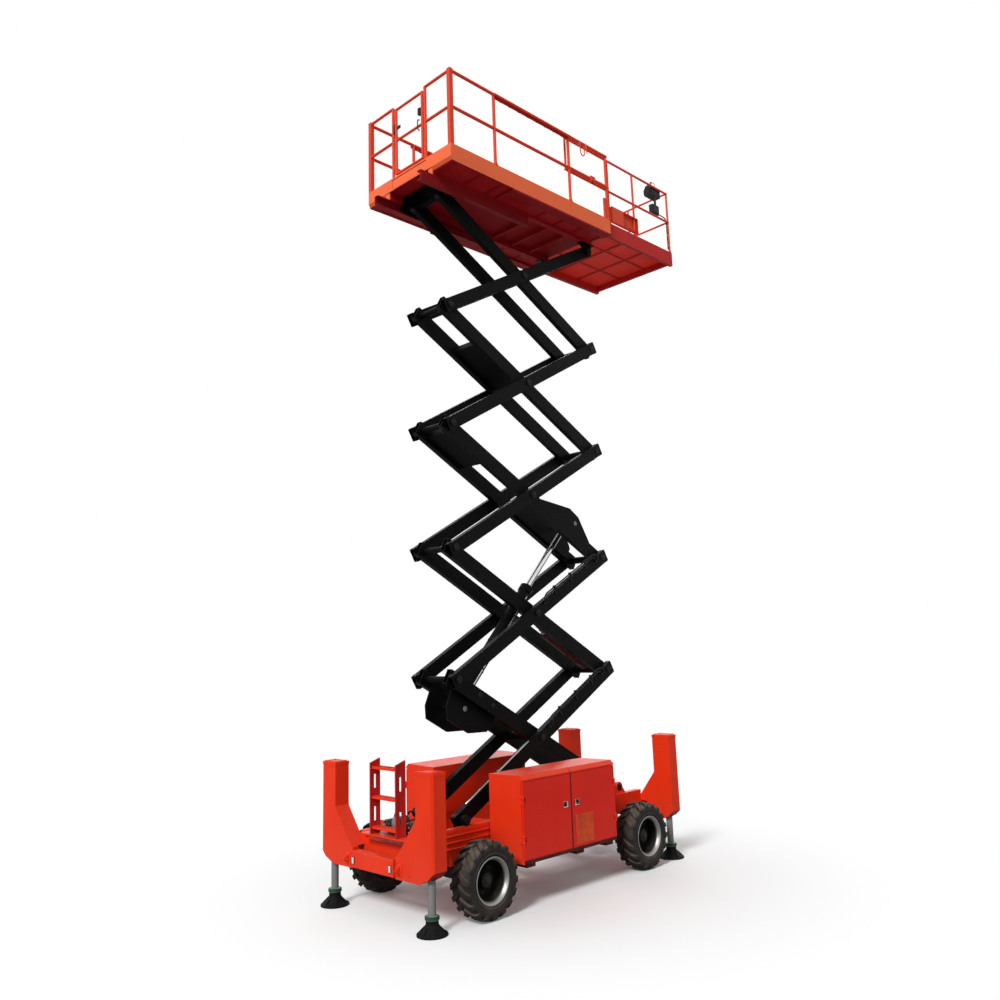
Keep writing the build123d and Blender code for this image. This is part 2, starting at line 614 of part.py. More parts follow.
with BuildPart() as lift_rod:
    with BuildSketch(cyl_plane(cyl_len - ROD_L)):
        Circle(ROD_R)
    extrude(amount=ROD_L - 30)
    cross_pin(eye_x, eye_z, 80, -60, 60)
    cross_pin(eye_x, eye_z, PIN_R, -EYE_PIN, EYE_PIN)
finish(lift_rod.part, "lift_cylinder_rod")

# ---------------------------------------------------------------- platform
with BuildPart() as platform_carriage:
    for side in (1, -1):
        block((REAR_X - 150, REAR_X + 150), (side * 412, side * 465), (TOP_Z - 50, TOP_Z + 50))
        block((REAR_X - 150, REAR_X + 150), (side * 398, side * 412), (TOP_Z - 50, TOP_Z + 150))
    block((REAR_X - 150, REAR_X + 150), (-398, 398), (TOP_Z + 134, TOP_Z + 150))
    drill(REAR_X, TOP_Z, PIN_R + RUNNING, 380, 470)
finish(platform_carriage.part, "platform_carriage")

TROUGH_Z = (TOP_Z + 88, TOP_Z + 98)
RIB_Z = (TOP_Z + 112, DECK_UNDER)
with BuildPart() as platform_deck:
    slot_x = (EXT_X[0] - 1700 - 40, DECK_X[1])
    # floor, full width behind and narrower where the roll-out deck's side rails run
    block((DECK_X[0], slot_x[0]), (-DECK_Y, DECK_Y), (DECK_UNDER, DECK_UNDER + DECK_T))
    block(slot_x, (-760, 760), (DECK_UNDER, DECK_UNDER + DECK_T))
    for side in (1, -1):
        block(DECK_X, (side * (DECK_Y - 40), side * DECK_Y), (DECK_UNDER, TOE_TOP))
        # longitudinal beam over the slide channel
        block((DECK_X[0] + 10, DECK_X[1]), (side * CHANNEL_Y[0], side * CHANNEL_Y[1]),
              (TOP_Z + 72, DECK_UNDER))
        # trough that the roll-out deck's side rail runs in
        block((slot_x[0] - 10, slot_x[1]), (side * 745, side * DECK_Y), TROUGH_Z)
        block((slot_x[0] - 10, slot_x[1]), (side * 745, side * 760), (TROUGH_Z[0], DECK_UNDER))
        block((slot_x[0] - 10, slot_x[1]), (side * (DECK_Y - 20), side * DECK_Y), (TROUGH_Z[0], DECK_UNDER))
        block((slot_x[0] - 20, slot_x[0]), (side * 745, side * DECK_Y), (TROUGH_Z[0], DECK_UNDER))
    block((DECK_X[0], DECK_X[0] + 30), (-DECK_Y, DECK_Y), (DECK_UNDER, TOE_TOP))
    # sloping lip under the rear edge, open in the middle for the carriage
    for y_edge in (DECK_Y, -CHANNEL_Y[1]):
        with BuildSketch(Plane.XZ.offset(-y_edge)):
            with BuildLine():
                Polyline((DECK_X[0], DECK_UNDER), (DECK_X[0] + 30, RIB_Z[0]), (DECK_X[0] + 170, RIB_Z[0]),
                         (DECK_X[0] + 170, DECK_UNDER), close=True)
            make_face()
        extrude(amount=DECK_Y - CHANNEL_Y[1])
    # recessed kick plate below the gate
    block((DECK_X[0], DECK_X[0] + 8), (-385, 350), (DECK_UNDER + 25, TOE_TOP - 25), Mode.SUBTRACT)
    for x in (350, 750, 1150):
        block((CHASSIS_X + x, CHASSIS_X + x + 50), (-CHANNEL_Y[0], CHANNEL_Y[0]), RIB_Z)
    for x in (-1100, -700, 350, 750, 1150, DECK_X[1] - CHASSIS_X - 50):
        for side in (1, -1):
            block((CHASSIS_X + x, CHASSIS_X + x + 50), (side * CHANNEL_Y[1], side * 745), RIB_Z)
    for x in (-1100, -700):
        for side in (1, -1):
            block((CHASSIS_X + x, CHASSIS_X + x + 50), (side * 745, side * (DECK_Y - 30)), RIB_Z)
finish(platform_deck.part, "platform_deck")

with BuildPart() as slide_channels:
    for side in (1, -1):
        channel_x = (CHASSIS_X - 1850, CHASSIS_X + 200)
        y_web = side * CHANNEL_Y[1]
        block(channel_x, (side * 427, y_web), (TOP_Z + 56, TOP_Z + 72))
        block(channel_x, (side * 427, y_web), (TOP_Z - 72, TOP_Z - 56))
        block(channel_x, (side * 484, y_web), (TOP_Z - 72, TOP_Z + 72))
finish(slide_channels.part, "platform_slide_channels")

with BuildPart() as front_pivots:
    for side in (1, -1):
        with BuildSketch(Plane.XZ.offset(-side * 416)):
            with BuildLine():
                Polyline((PIVOT_X - 200, TOP_Z + 72), (PIVOT_X - 70, TOP_Z), (PIVOT_X + 60, TOP_Z),
                         (PIVOT_X + 60, TOP_Z + 72), close=True)
            make_face()
            with Locations((PIVOT_X, TOP_Z)):
                Circle(65)
        extrude(amount=18, both=True)
        # pad under the longitudinal beam
        block((PIVOT_X - 240, PIVOT_X + 55), (side * 398, side * CHANNEL_Y[1]), (TOP_Z + 60, TOP_Z + 72))
    drill(PIVOT_X, TOP_Z, PIN_R + RUNNING, 380, 450)
finish(front_pivots.part, "platform_front_pivots")

# ---------------------------------------------------------------- guard rails of the main deck
RAIL_Y_MAIN = 875
MID_RAIL = TOP_Z + 903
CORNER = 60                 # square corner post
POSTS_X = (DECK_X[0] + 20, CHASSIS_X - 827, CHASSIS_X + 739, DECK_X[1] - 20)
GATE_POSTS_Y = (332, -367)


def tube_along_x(x0, x1, y, z, radius):
    """Add a round bar along X between two limits."""
    with BuildSketch(Plane.YZ.offset(x0)) as section:
        with Locations((y, z)):
            Circle(radius)
    extrude(section.sketch, amount=x1 - x0)


for side, side_name in ((1, "left"), (-1, "right")):
    y = side * RAIL_Y_MAIN
    with BuildPart() as guard_rails:
        block((DECK_X[0], DECK_X[0] + CORNER), (side * (DECK_Y - CORNER), side * DECK_Y), (TOE_TOP, RAIL_TOP))
        for x in POSTS_X[1:]:
            upright_bar(x, y, TUBE - 1, TOE_TOP, RAIL_TOP - TUBE)
        for z in (RAIL_TOP - TUBE, MID_RAIL):
            tube_along_x(DECK_X[0] + CORNER / 2, POSTS_X[3] + TUBE, y, z, TUBE)
            tube_along_x(POSTS_X[2] - TUBE, POSTS_X[3] + TUBE + 2, y, z, SLEEVE)
        # second top rail beside the first between the middle posts
        tube_along_x(POSTS_X[1] - TUBE, POSTS_X[2] + TUBE, y + side * 34, RAIL_TOP - TUBE - 18, 18)
        # stop post for the roll-out rails
        block((CHASSIS_X + 1545, CHASSIS_X + 1605), (side * (DECK_Y - 36), side * (DECK_Y - 4)),
              (TOE_TOP, TOE_TOP + 340))
    finish(guard_rails.part, f"guard_rails_{side_name}")

# short rails at the rear, left open for the gate
with BuildPart() as rear_rails:
    for y0, y1 in ((GATE_POSTS_Y[0], DECK_Y - CORNER), (CORNER - DECK_Y, GATE_POSTS_Y[1])):
        for z in (RAIL_TOP - TUBE, MID_RAIL):
            cross_pin(POSTS_X[0], z, TUBE - 2, y0, y1)
    for y in GATE_POSTS_Y:
        upright_bar(POSTS_X[0], y, TUBE - 1, TOE_TOP, RAIL_TOP - TUBE)
finish(rear_rails.part, "rear_rails")

GATE_Y = (GATE_POSTS_Y[1] + TUBE + 40, GATE_POSTS_Y[0] - TUBE - 45)
with BuildPart() as gate:
    for y in GATE_Y:
        upright_bar(POSTS_X[0], y, TUBE - 3, TOE_TOP + 30, RAIL_TOP - 60)
    for z in (TOE_TOP + 40, (TOE_TOP + RAIL_TOP) / 2, RAIL_TOP - 70):
        cross_pin(POSTS_X[0], z, TUBE - 4, GATE_Y[0], GATE_Y[1])
    # hinge knuckles
    for z in (TOE_TOP + 120, RAIL_TOP - 180):
        upright_bar(POSTS_X[0], GATE_Y[1] + 33, 12, z, z + 80)
        block((POSTS_X[0] - 5, POSTS_X[0] + 5), (GATE_Y[1], GATE_Y[1] + 30), (z + 10, z + 70))
finish(gate.part, "rear_gate")

# ---------------------------------------------------------------- roll-out deck
EXT_RIBS_X = (1700, 2250, 2800)
with BuildPart() as extension_deck:
    block(EXT_X, (-EXT_Y, EXT_Y), (EXT_FLOOR, EXT_FLOOR + 18))
    for side in (1, -1):
        block(EXT_X, (side * (EXT_Y - 57), side * EXT_Y), (EXT_LOW, EXT_FLOOR))
        block(EXT_X, (side * (EXT_Y - 12), side * EXT_Y), (EXT_FLOOR, EXT_FLOOR + 110))
        block(EXT_X, (side * 260, side * 290), (EXT_FLOOR - 16, EXT_FLOOR))
    for x in EXT_RIBS_X:
        block((CHASSIS_X + x, CHASSIS_X + x + 40), (57 - EXT_Y, EXT_Y - 57), (EXT_FLOOR - 16, EXT_FLOOR))
    block((EXT_X[1] - 45, EXT_X[1]), (-EXT_Y, EXT_Y), (TOP_Z + 140, EXT_FLOOR + 110))
finish(extension_deck.part, "extension_deck")

EXT_POSTS_X = (EXT_RAIL_X, EXT_X[0] + 500, EXT_X[1] - 1000, EXT_X[1] - 25)
TRAY_X = (CHASSIS_X + 1800, CHASSIS_X + 2480)
TRAY_Z = (TOP_Z + 400, TOP_Z + 659)
with BuildPart() as extension_rails:
    # shallow tool tray on the right-hand side, open outwards
    block(TRAY_X, (-834, -784), TRAY_Z)
    block((TRAY_X[0] + 300, TRAY_X[1] - 14), (-834, -796), (TRAY_Z[0] + 14, TRAY_Z[1] - 14), Mode.SUBTRACT)
    for side in (1, -1):
        y = side * EXT_RAIL_Y
        for x in EXT_POSTS_X[1:]:
            upright_bar(x, y, EXT_TUBE - 1, EXT_FLOOR + 110, RAIL_TOP - 20)
        upright_bar(EXT_POSTS_X[0], y, EXT_TUBE - 1, MID_RAIL, RAIL_TOP - 20)
        for z in (RAIL_TOP - 20, MID_RAIL):
            tube_along_x(EXT_POSTS_X[0] - EXT_TUBE, EXT_POSTS_X[-1] + EXT_TUBE, y, z, EXT_TUBE)
finish(extension_rails.part, "extension_rails")

with BuildPart() as extension_front_rails:
    for z in (RAIL_TOP - 20, MID_RAIL):
        cross_pin(EXT_POSTS_X[-1], z, EXT_TUBE - 2, EXT_TUBE - EXT_RAIL_Y, EXT_RAIL_Y - EXT_TUBE)
    upright_bar(EXT_POSTS_X[-1], 0, EXT_TUBE - 3, EXT_FLOOR + 110, RAIL_TOP - 20)
finish(extension_front_rails.part, "extension_front_rails")

CONTROL_X = (EXT_X[1] - 450, EXT_X[1] - 170)
with BuildPart() as control_box:
    # sloping console on the top rail
    with BuildSketch(Plane.YZ.offset(CONTROL_X[0])):
        with BuildLine():
            Polyline((-792, RAIL_TOP - 150), (-660, RAIL_TOP - 150), (-650, RAIL_TOP - 60), (-700, RAIL_TOP + 20),
                     (-792, RAIL_TOP + 20), close=True)
        make_face()
    extrude(amount=CONTROL_X[1] - CONTROL_X[0])
    # lever with its knob and guard
    upright_bar(CONTROL_X[0] + 80, -750, 9, RAIL_TOP + 10, RAIL_TOP + 75)
    with Locations((CONTROL_X[0] + 80, -750, RAIL_TOP + 80)):
        Sphere(20)
    # bracket and the junction box below
    block((CONTROL_X[0] + 110, CONTROL_X[0] + 150), (-792, -772), (RAIL_TOP - 330, RAIL_TOP - 140))
    block((CONTROL_X[0] + 40, CONTROL_X[0] + 220), (-792, -715), (RAIL_TOP - 480, RAIL_TOP - 320))
finish(control_box.part, "control_box")

print("joints: foot", round(PIVOT_X, 2), PIVOT_Z, "rear", round(REAR_X, 2), "middle", round(MID_X, 2),
      "angle", round(degrees(ANGLE), 4))
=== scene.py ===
"""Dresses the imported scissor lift.

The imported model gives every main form. This script gives each node its finish and adds what the model
leaves out: tyre lugs, wheel nuts, the slotted ladder, pin caps, hoses, latches, lamps, deck sheets and
the small rail fittings.
All lengths are in metres, in the same frame as the model: +X to the front, +Y to the left, +Z up.
"""

import logging
import math
from collections.abc import Callable, Iterable, Sequence
from dataclasses import dataclass
from enum import Enum, IntEnum
from typing import ClassVar

import bmesh
import bpy
from mathutils import Euler, Matrix, Vector


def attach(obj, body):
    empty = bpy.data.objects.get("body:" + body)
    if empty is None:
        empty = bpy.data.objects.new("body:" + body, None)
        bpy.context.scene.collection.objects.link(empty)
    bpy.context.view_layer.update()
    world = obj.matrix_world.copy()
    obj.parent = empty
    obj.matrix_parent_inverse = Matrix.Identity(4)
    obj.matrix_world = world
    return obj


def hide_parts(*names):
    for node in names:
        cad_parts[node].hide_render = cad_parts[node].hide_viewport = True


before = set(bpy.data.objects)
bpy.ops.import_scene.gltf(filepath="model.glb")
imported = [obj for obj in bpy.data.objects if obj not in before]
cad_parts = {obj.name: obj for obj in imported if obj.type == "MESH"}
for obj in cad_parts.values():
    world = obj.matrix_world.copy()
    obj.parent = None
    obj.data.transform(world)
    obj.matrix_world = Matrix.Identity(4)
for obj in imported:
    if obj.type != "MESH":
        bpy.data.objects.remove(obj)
log = logging.getLogger("scissor_lift")

Piece = bpy.types.Object
Socket = bpy.types.NodeSocket
Pick = Callable[[bmesh.types.BMFace], bool]

SMOOTH_BELOW = math.radians(32)
BEVEL_ABOVE = math.radians(35)
WELD = 0.00002
ORIGIN = (0, 0, 0)


# ---- choices
class Sign(IntEnum):
    """A way along one axis, which multiplies as its sign."""

    @property
    def word(self) -> str:
        """The name as the nodes spell it."""
        return self.name.lower()


class Side(Sign):
    """The two sides of the machine, by the sign of Y."""

    LEFT = 1
    RIGHT = -1


class End(Sign):
    """The two ends of the machine, by the sign of X."""

    REAR = -1
    FRONT = 1


class Pair(Enum):
    """The two arm pairs of one scissor level."""

    OUTER = "outer"
    INNER = "inner"


# ---- shader groups
PLACE = ("Vector", "Vector", ORIGIN)


class Wiring:
    """Places nodes in one tree and wires them to each other."""

    def __init__(self, tree: bpy.types.NodeTree) -> None:
        """Takes the tree to wire."""
        self.tree = tree

    @classmethod
    def fresh(cls, owner: bpy.types.Material | bpy.types.World) -> "Wiring":
        """Empties the tree of a material or a world and returns its wiring."""
        owner.use_nodes = True
        owner.node_tree.nodes.clear()
        return cls(owner.node_tree)

    def feed(self, socket: Socket, value: object) -> None:
        """Links a socket to another one, or sets its value."""
        if isinstance(value, Socket):
            self.tree.links.new(value, socket)
        else:
            socket.default_value = value

    def node(self, kind: str, inputs: dict | None = None, **settings: object) -> bpy.types.Node:
        """Places a node.

        Args:
            kind: Its type, without "ShaderNode".
            inputs: Socket name or number to the value or socket that feeds it.
            settings: The node's own settings.

        Returns:
            The node.
        """
        node = self.tree.nodes.new("ShaderNode" + kind)
        for label, value in settings.items():
            setattr(node, label, value)
        for label, value in (inputs or {}).items():
            self.feed(node.inputs[label], value)
        return node

    def math(self, operation: str, *values: object, clamp: bool = False) -> Socket:
        """Returns the result of a sum on up to three values."""
        return self.node("Math", dict(enumerate(values)), operation=operation, use_clamp=clamp).outputs[0]

    def vector(self, operation: str, *values: object) -> bpy.types.Node:
        """Returns the node of a sum on vectors."""
        return self.node("VectorMath", dict(enumerate(values)), operation=operation)

    def scaled(self, vector: Socket, factor: object) -> Socket:
        """Returns a vector made longer or shorter by a factor."""
        return self.node("VectorMath", {0: vector, "Scale": factor}, operation="SCALE").outputs[0]

    def ramp(self, value: object, low: object, high: object, start: float = 0.0, stop: float = 1.0) -> Socket:
        """Returns a value that is carried from one range to another."""
        return self.node("MapRange",
                         {"Value": value, "From Min": low, "From Max": high, "To Min": start,
                          "To Max": stop}).outputs["Result"]

    def noise(self, where: object, scale: object, detail: float, roughness: float = 0.5) -> Socket:
        """Returns the grey value of a noise texture."""
        return self.node("TexNoise",
                         {"Vector": where, "Scale": scale, "Detail": detail,
                          "Roughness": roughness}).outputs["Fac"]

    def over(self, mask: object, below: object, above: object) -> Socket:
        """Returns one colour laid over another through a mask."""
        return self.node("Mix", {0: mask, 6: below, 7: above}, data_type="RGBA").outputs[2]

    def axes(self, vector: Socket) -> bpy.types.NodeOutputs:
        """Returns the three parts of a vector."""
        return self.node("SeparateXYZ", {0: vector}).outputs

    def group(self, shared: bpy.types.NodeTree, inputs: dict) -> bpy.types.NodeOutputs:
        """Places a shared group with its own values and returns its outputs."""
        return self.node("Group", inputs, node_tree=shared).outputs


class SharedGroup(Wiring):
    """A node group under construction, with its own inputs at hand by name."""

    def __init__(self, name: str, inputs: Sequence[tuple], outputs: Sequence[tuple]) -> None:
        """Makes an empty group with named sockets.

        Args:
            name: The group's name.
            inputs: Rows of (socket name, "Vector", "Color" or "Float", default value).
            outputs: Rows of (socket name, type).
        """
        super().__init__(bpy.data.node_groups.new(name, "ShaderNodeTree"))
        for label, kind, value in inputs:
            self.tree.interface.new_socket(
                name=label, in_out="INPUT", socket_type="NodeSocket" + kind).default_value = value
        for label, kind in outputs:
            self.tree.interface.new_socket(name=label, in_out="OUTPUT", socket_type="NodeSocket" + kind)
        self.given = self.tree.nodes.new("NodeGroupInput").outputs
        self._last = self.tree.nodes.new("NodeGroupOutput").inputs

    def finish(self, **results: Socket) -> bpy.types.NodeTree:
        """Feeds the group's outputs by name and returns its tree."""
        for label, socket in results.items():
            self.tree.links.new(socket, self._last[label])
        return self.tree


class ShaderGroups:
    """Effects that several finishes share, each a node group that is built once."""

    def __init__(self) -> None:
        """Builds the groups."""
        self.mottle = self._mottle()
        self.dust = self._dust()
        self.scuff = self._scuff()
        self.skin = self._skin()
        self.chequer = self._chequer()

    @staticmethod
    def _mottle() -> bpy.types.NodeTree:
        """Slow lighter and darker patches of one paint."""
        new = SharedGroup("paint_mottle",
                          [PLACE, ("Colour", "Color", (0.5, 0.5, 0.5, 1)), ("Scale", "Float", 2.0),
                           ("Strength", "Float", 0.1)], [("Colour", "Color"), ("Mask", "Float")])
        where, colour, scale, strength = new.given[:4]
        patches = new.noise(where, scale, 5, 0.55)
        amount = new.math("MULTIPLY_ADD", new.ramp(patches, 0.3, 0.7, -1.0), strength, 1.0)
        return new.finish(Colour=new.scaled(colour, amount), Mask=patches)

    @staticmethod
    def _dust() -> bpy.types.NodeTree:
        """Dust that is thicker near the ground and on faces that look up; on the tyre, the pale layer on faces
        that look up also paints highlights.
        """
        new = SharedGroup("road_dust",
                          [PLACE, ("Normal", "Vector", (0, 0, 1)), ("Colour", "Color", (0.5, 0.5, 0.5, 1)),
                           ("Dust", "Color", (0.35, 0.3, 0.24, 1)), ("Top", "Float", 1.0),
                           ("Amount", "Float", 0.3), ("Upward", "Float", 0.2)],
                          [("Colour", "Color"), ("Mask", "Float")])
        where, facing, colour, dust, top, amount, upward = new.given[:7]
        low = new.math("MULTIPLY", new.ramp(new.axes(where)["Z"], top, 0.0), amount)
        # Faces that look up: settled dust, and on the tyre a painted highlight as well.
        upward = new.math("MULTIPLY", new.axes(facing)["Z"], upward, clamp=True)
        broken = new.ramp(new.noise(where, 9.0, 6), 0.35, 0.65, 0.35)
        mask = new.math("MULTIPLY", new.math("ADD", low, upward), broken, clamp=True)
        return new.finish(Colour=new.over(mask, colour, dust), Mask=mask)

    @staticmethod
    def _scuff() -> bpy.types.NodeTree:
        """Fine drawn-out rub marks, as a mask."""
        new = SharedGroup("rub_marks", [PLACE, ("Stretch", "Vector", (1, 1, 1)), ("Density", "Float", 0.5)],
                          [("Mask", "Float")])
        where, stretch, density = new.given[:3]
        drawn = new.vector("MULTIPLY", where, stretch).outputs[0]
        edge = new.math("SUBTRACT", 1.0, density)
        return new.finish(Mask=new.ramp(new.noise(drawn, 1.0, 8, 0.7), edge, 1.0))

    @staticmethod
    def _skin() -> bpy.types.NodeTree:
        """The slight ripple of sprayed paint, with fine grit over it, as a height."""
        new = SharedGroup("sprayed_skin",
                          [PLACE, ("Ripple", "Float", 60.0), ("Grit", "Float", 400.0), ("Mix", "Float", 0.4)],
                          [("Height", "Float")])
        where, ripple, grit, mix = new.given[:4]
        blend = new.node("Mix", {0: mix, 2: new.noise(where, ripple, 2), 3: new.noise(where, grit, 4)})
        return new.finish(Height=blend.outputs[0])

    @staticmethod
    def _chequer() -> bpy.types.NodeTree:
        """Raised bars of tread plate, which lie crosswise in turn, as a height."""
        new = SharedGroup("tread_plate", [PLACE, ("Count", "Float", 14.0)], [("Height", "Float")])
        where = new.scaled(*new.given[:2])
        bars = []
        for turn, offset in ((math.pi / 4, 0.0), (-math.pi / 4, 0.5)):
            spot = new.vector("ADD", where, (offset, offset, 0)).outputs[0]
            cell = new.vector("FRACTION", spot).outputs[0]
            centred = new.node("Mapping", {"Vector": cell, "Location": (-0.5, -0.5, 0)}).outputs[0]
            turned = new.node("Mapping",
                              {"Vector": centred, "Rotation": (0, 0, turn), "Scale": (2.6, 8.5, 0)}).outputs[0]
            bars.append(new.ramp(new.vector("LENGTH", turned).outputs["Value"], 1.0, 0.7))
        return new.finish(Height=new.math("MAXIMUM", *bars))


# ---- finishes
@dataclass(frozen=True)
class Band:
    """A stretch of a piece, between two heights, that has another colour.

    It may begin at an X, and may hold only the outermost faces, past a distance from the middle plane.
    """

    low: float
    high: float
    colour: tuple
    roughness: float
    start: float = -99.0
    reach: float = -1.0


@dataclass(frozen=True)
class Finish:
    """One finish and how it is worn.

    The colours are linear. `under` is a darker colour laid on faces that look down: it is painted shade, not a
    paint of its own.
    `chequer` is how many repeats of the tread plate's pattern lie in a metre.
    """

    name: str
    slot: str
    colour: tuple
    roughness: float = 0.4
    specular: float = 0.3
    metallic: float = 0.0
    mottle: float = 0.06
    mottle_scale: float = 2.0
    dust: float = 0.0
    dust_top: float = 1.2
    # Pale layer on faces that look up: dust, and on the tyre also a painted highlight.
    upward: float = 0.1
    dust_colour: tuple = (0.3, 0.24, 0.18)
    bump: float = 0.02
    ripple: float = 60.0
    grit: float = 400.0
    grit_mix: float = 0.4
    scuff: float = 0.35
    stretch: tuple = (3.0, 3.0, 40.0)
    chequer: float = 0.0
    # Painted shade: the darker colour given to faces that look down.
    under: tuple | None = None
    bands: tuple = ()

    def build(self, groups: ShaderGroups) -> bpy.types.Material:
        """Makes the node material.

        Args:
            groups: The shared shader groups.

        Returns:
            The material, ready to assign.
        """
        material = bpy.data.materials.new(self.name)
        new = Wiring.fresh(material)
        place = new.node("TexCoord").outputs
        where, facing = place["Object"], place["Normal"]
        mottle = new.group(groups.mottle,
                           {"Vector": where, "Colour": self._colour(new, where, facing),
                            "Scale": self.mottle_scale, "Strength": self.mottle})
        dust = new.group(groups.dust,
                         {"Vector": where, "Normal": facing, "Colour": mottle["Colour"],
                          "Dust": (*self.dust_colour, 1), "Top": self.dust_top, "Amount": self.dust,
                          "Upward": self.upward})
        scuff = new.group(groups.scuff, {"Vector": where, "Stretch": self.stretch, "Density": self.scuff})
        height = new.group(groups.skin,
                           {"Vector": where, "Ripple": self.ripple, "Grit": self.grit,
                            "Mix": self.grit_mix})["Height"]
        if self.chequer:
            plate = new.group(groups.chequer, {"Vector": where, "Count": self.chequer})["Height"]
            height = new.math("MULTIPLY_ADD", plate, 2.0, height)
        bump = new.node("Bump", {"Strength": 0.35, "Distance": self.bump, "Height": height})
        shader = new.node("BsdfPrincipled",
                          {"Base Color": dust["Colour"],
                           "Roughness": self._roughness(new, where, scuff["Mask"], dust["Mask"]),
                           "Metallic": self.metallic, "Specular IOR Level": self.specular,
                           "Normal": bump.outputs[0]})
        new.node("OutputMaterial", {"Surface": shader.outputs[0]})
        return material

    def _colour(self, new: Wiring, where: Socket, facing: Socket) -> Socket:
        """Base colour with the bands, and with painted shade on faces that look down.

        Args:
            new: The material's wiring.
            where: Object coordinates.
            facing: Object-space normal.

        Returns:
            The colour socket.
        """
        colour = new.node("RGB").outputs[0]
        colour.default_value = (*self.colour, 1)
        # Faces that look down blend into the under colour: painted shade.
        if self.under is not None:
            colour = new.over(new.ramp(new.axes(facing)["Z"], -0.3, -0.8), colour, (*self.under, 1))
        for band in self.bands:
            colour = new.over(self._within(new, where, band), colour, (*band.colour, 1))
        return colour

    @staticmethod
    def _within(new: Wiring, where: Socket, band: Band) -> Socket:
        """Returns a mask that is one where the band lies."""
        axes = new.axes(where)
        between = new.math("MULTIPLY", new.math("GREATER_THAN", axes["Z"], band.low),
                           new.math("LESS_THAN", axes["Z"], band.high))
        outside = new.math("MULTIPLY", new.math("GREATER_THAN", axes["X"], band.start),
                           new.math("GREATER_THAN", new.math("ABSOLUTE", axes["Y"]), band.reach))
        return new.math("MULTIPLY", between, outside)

    def _roughness(self, new: Wiring, where: Socket, scuff: Socket, dust: Socket) -> Socket:
        """Roughness that rises in rub marks and dust, with each band's own value.

        Args:
            new: The material's wiring.
            where: Object coordinates.
            scuff: Mask of the rub marks.
            dust: Mask of the dust.

        Returns:
            The roughness socket.
        """
        rough = new.math("MULTIPLY_ADD", scuff, 0.3, self.roughness)
        for band in self.bands:
            rough = new.node("Mix", {0: self._within(new, where, band), 2: rough, 3: band.roughness}).outputs[0]
        return new.math("MULTIPLY_ADD", dust, 0.45, rough, clamp=True)


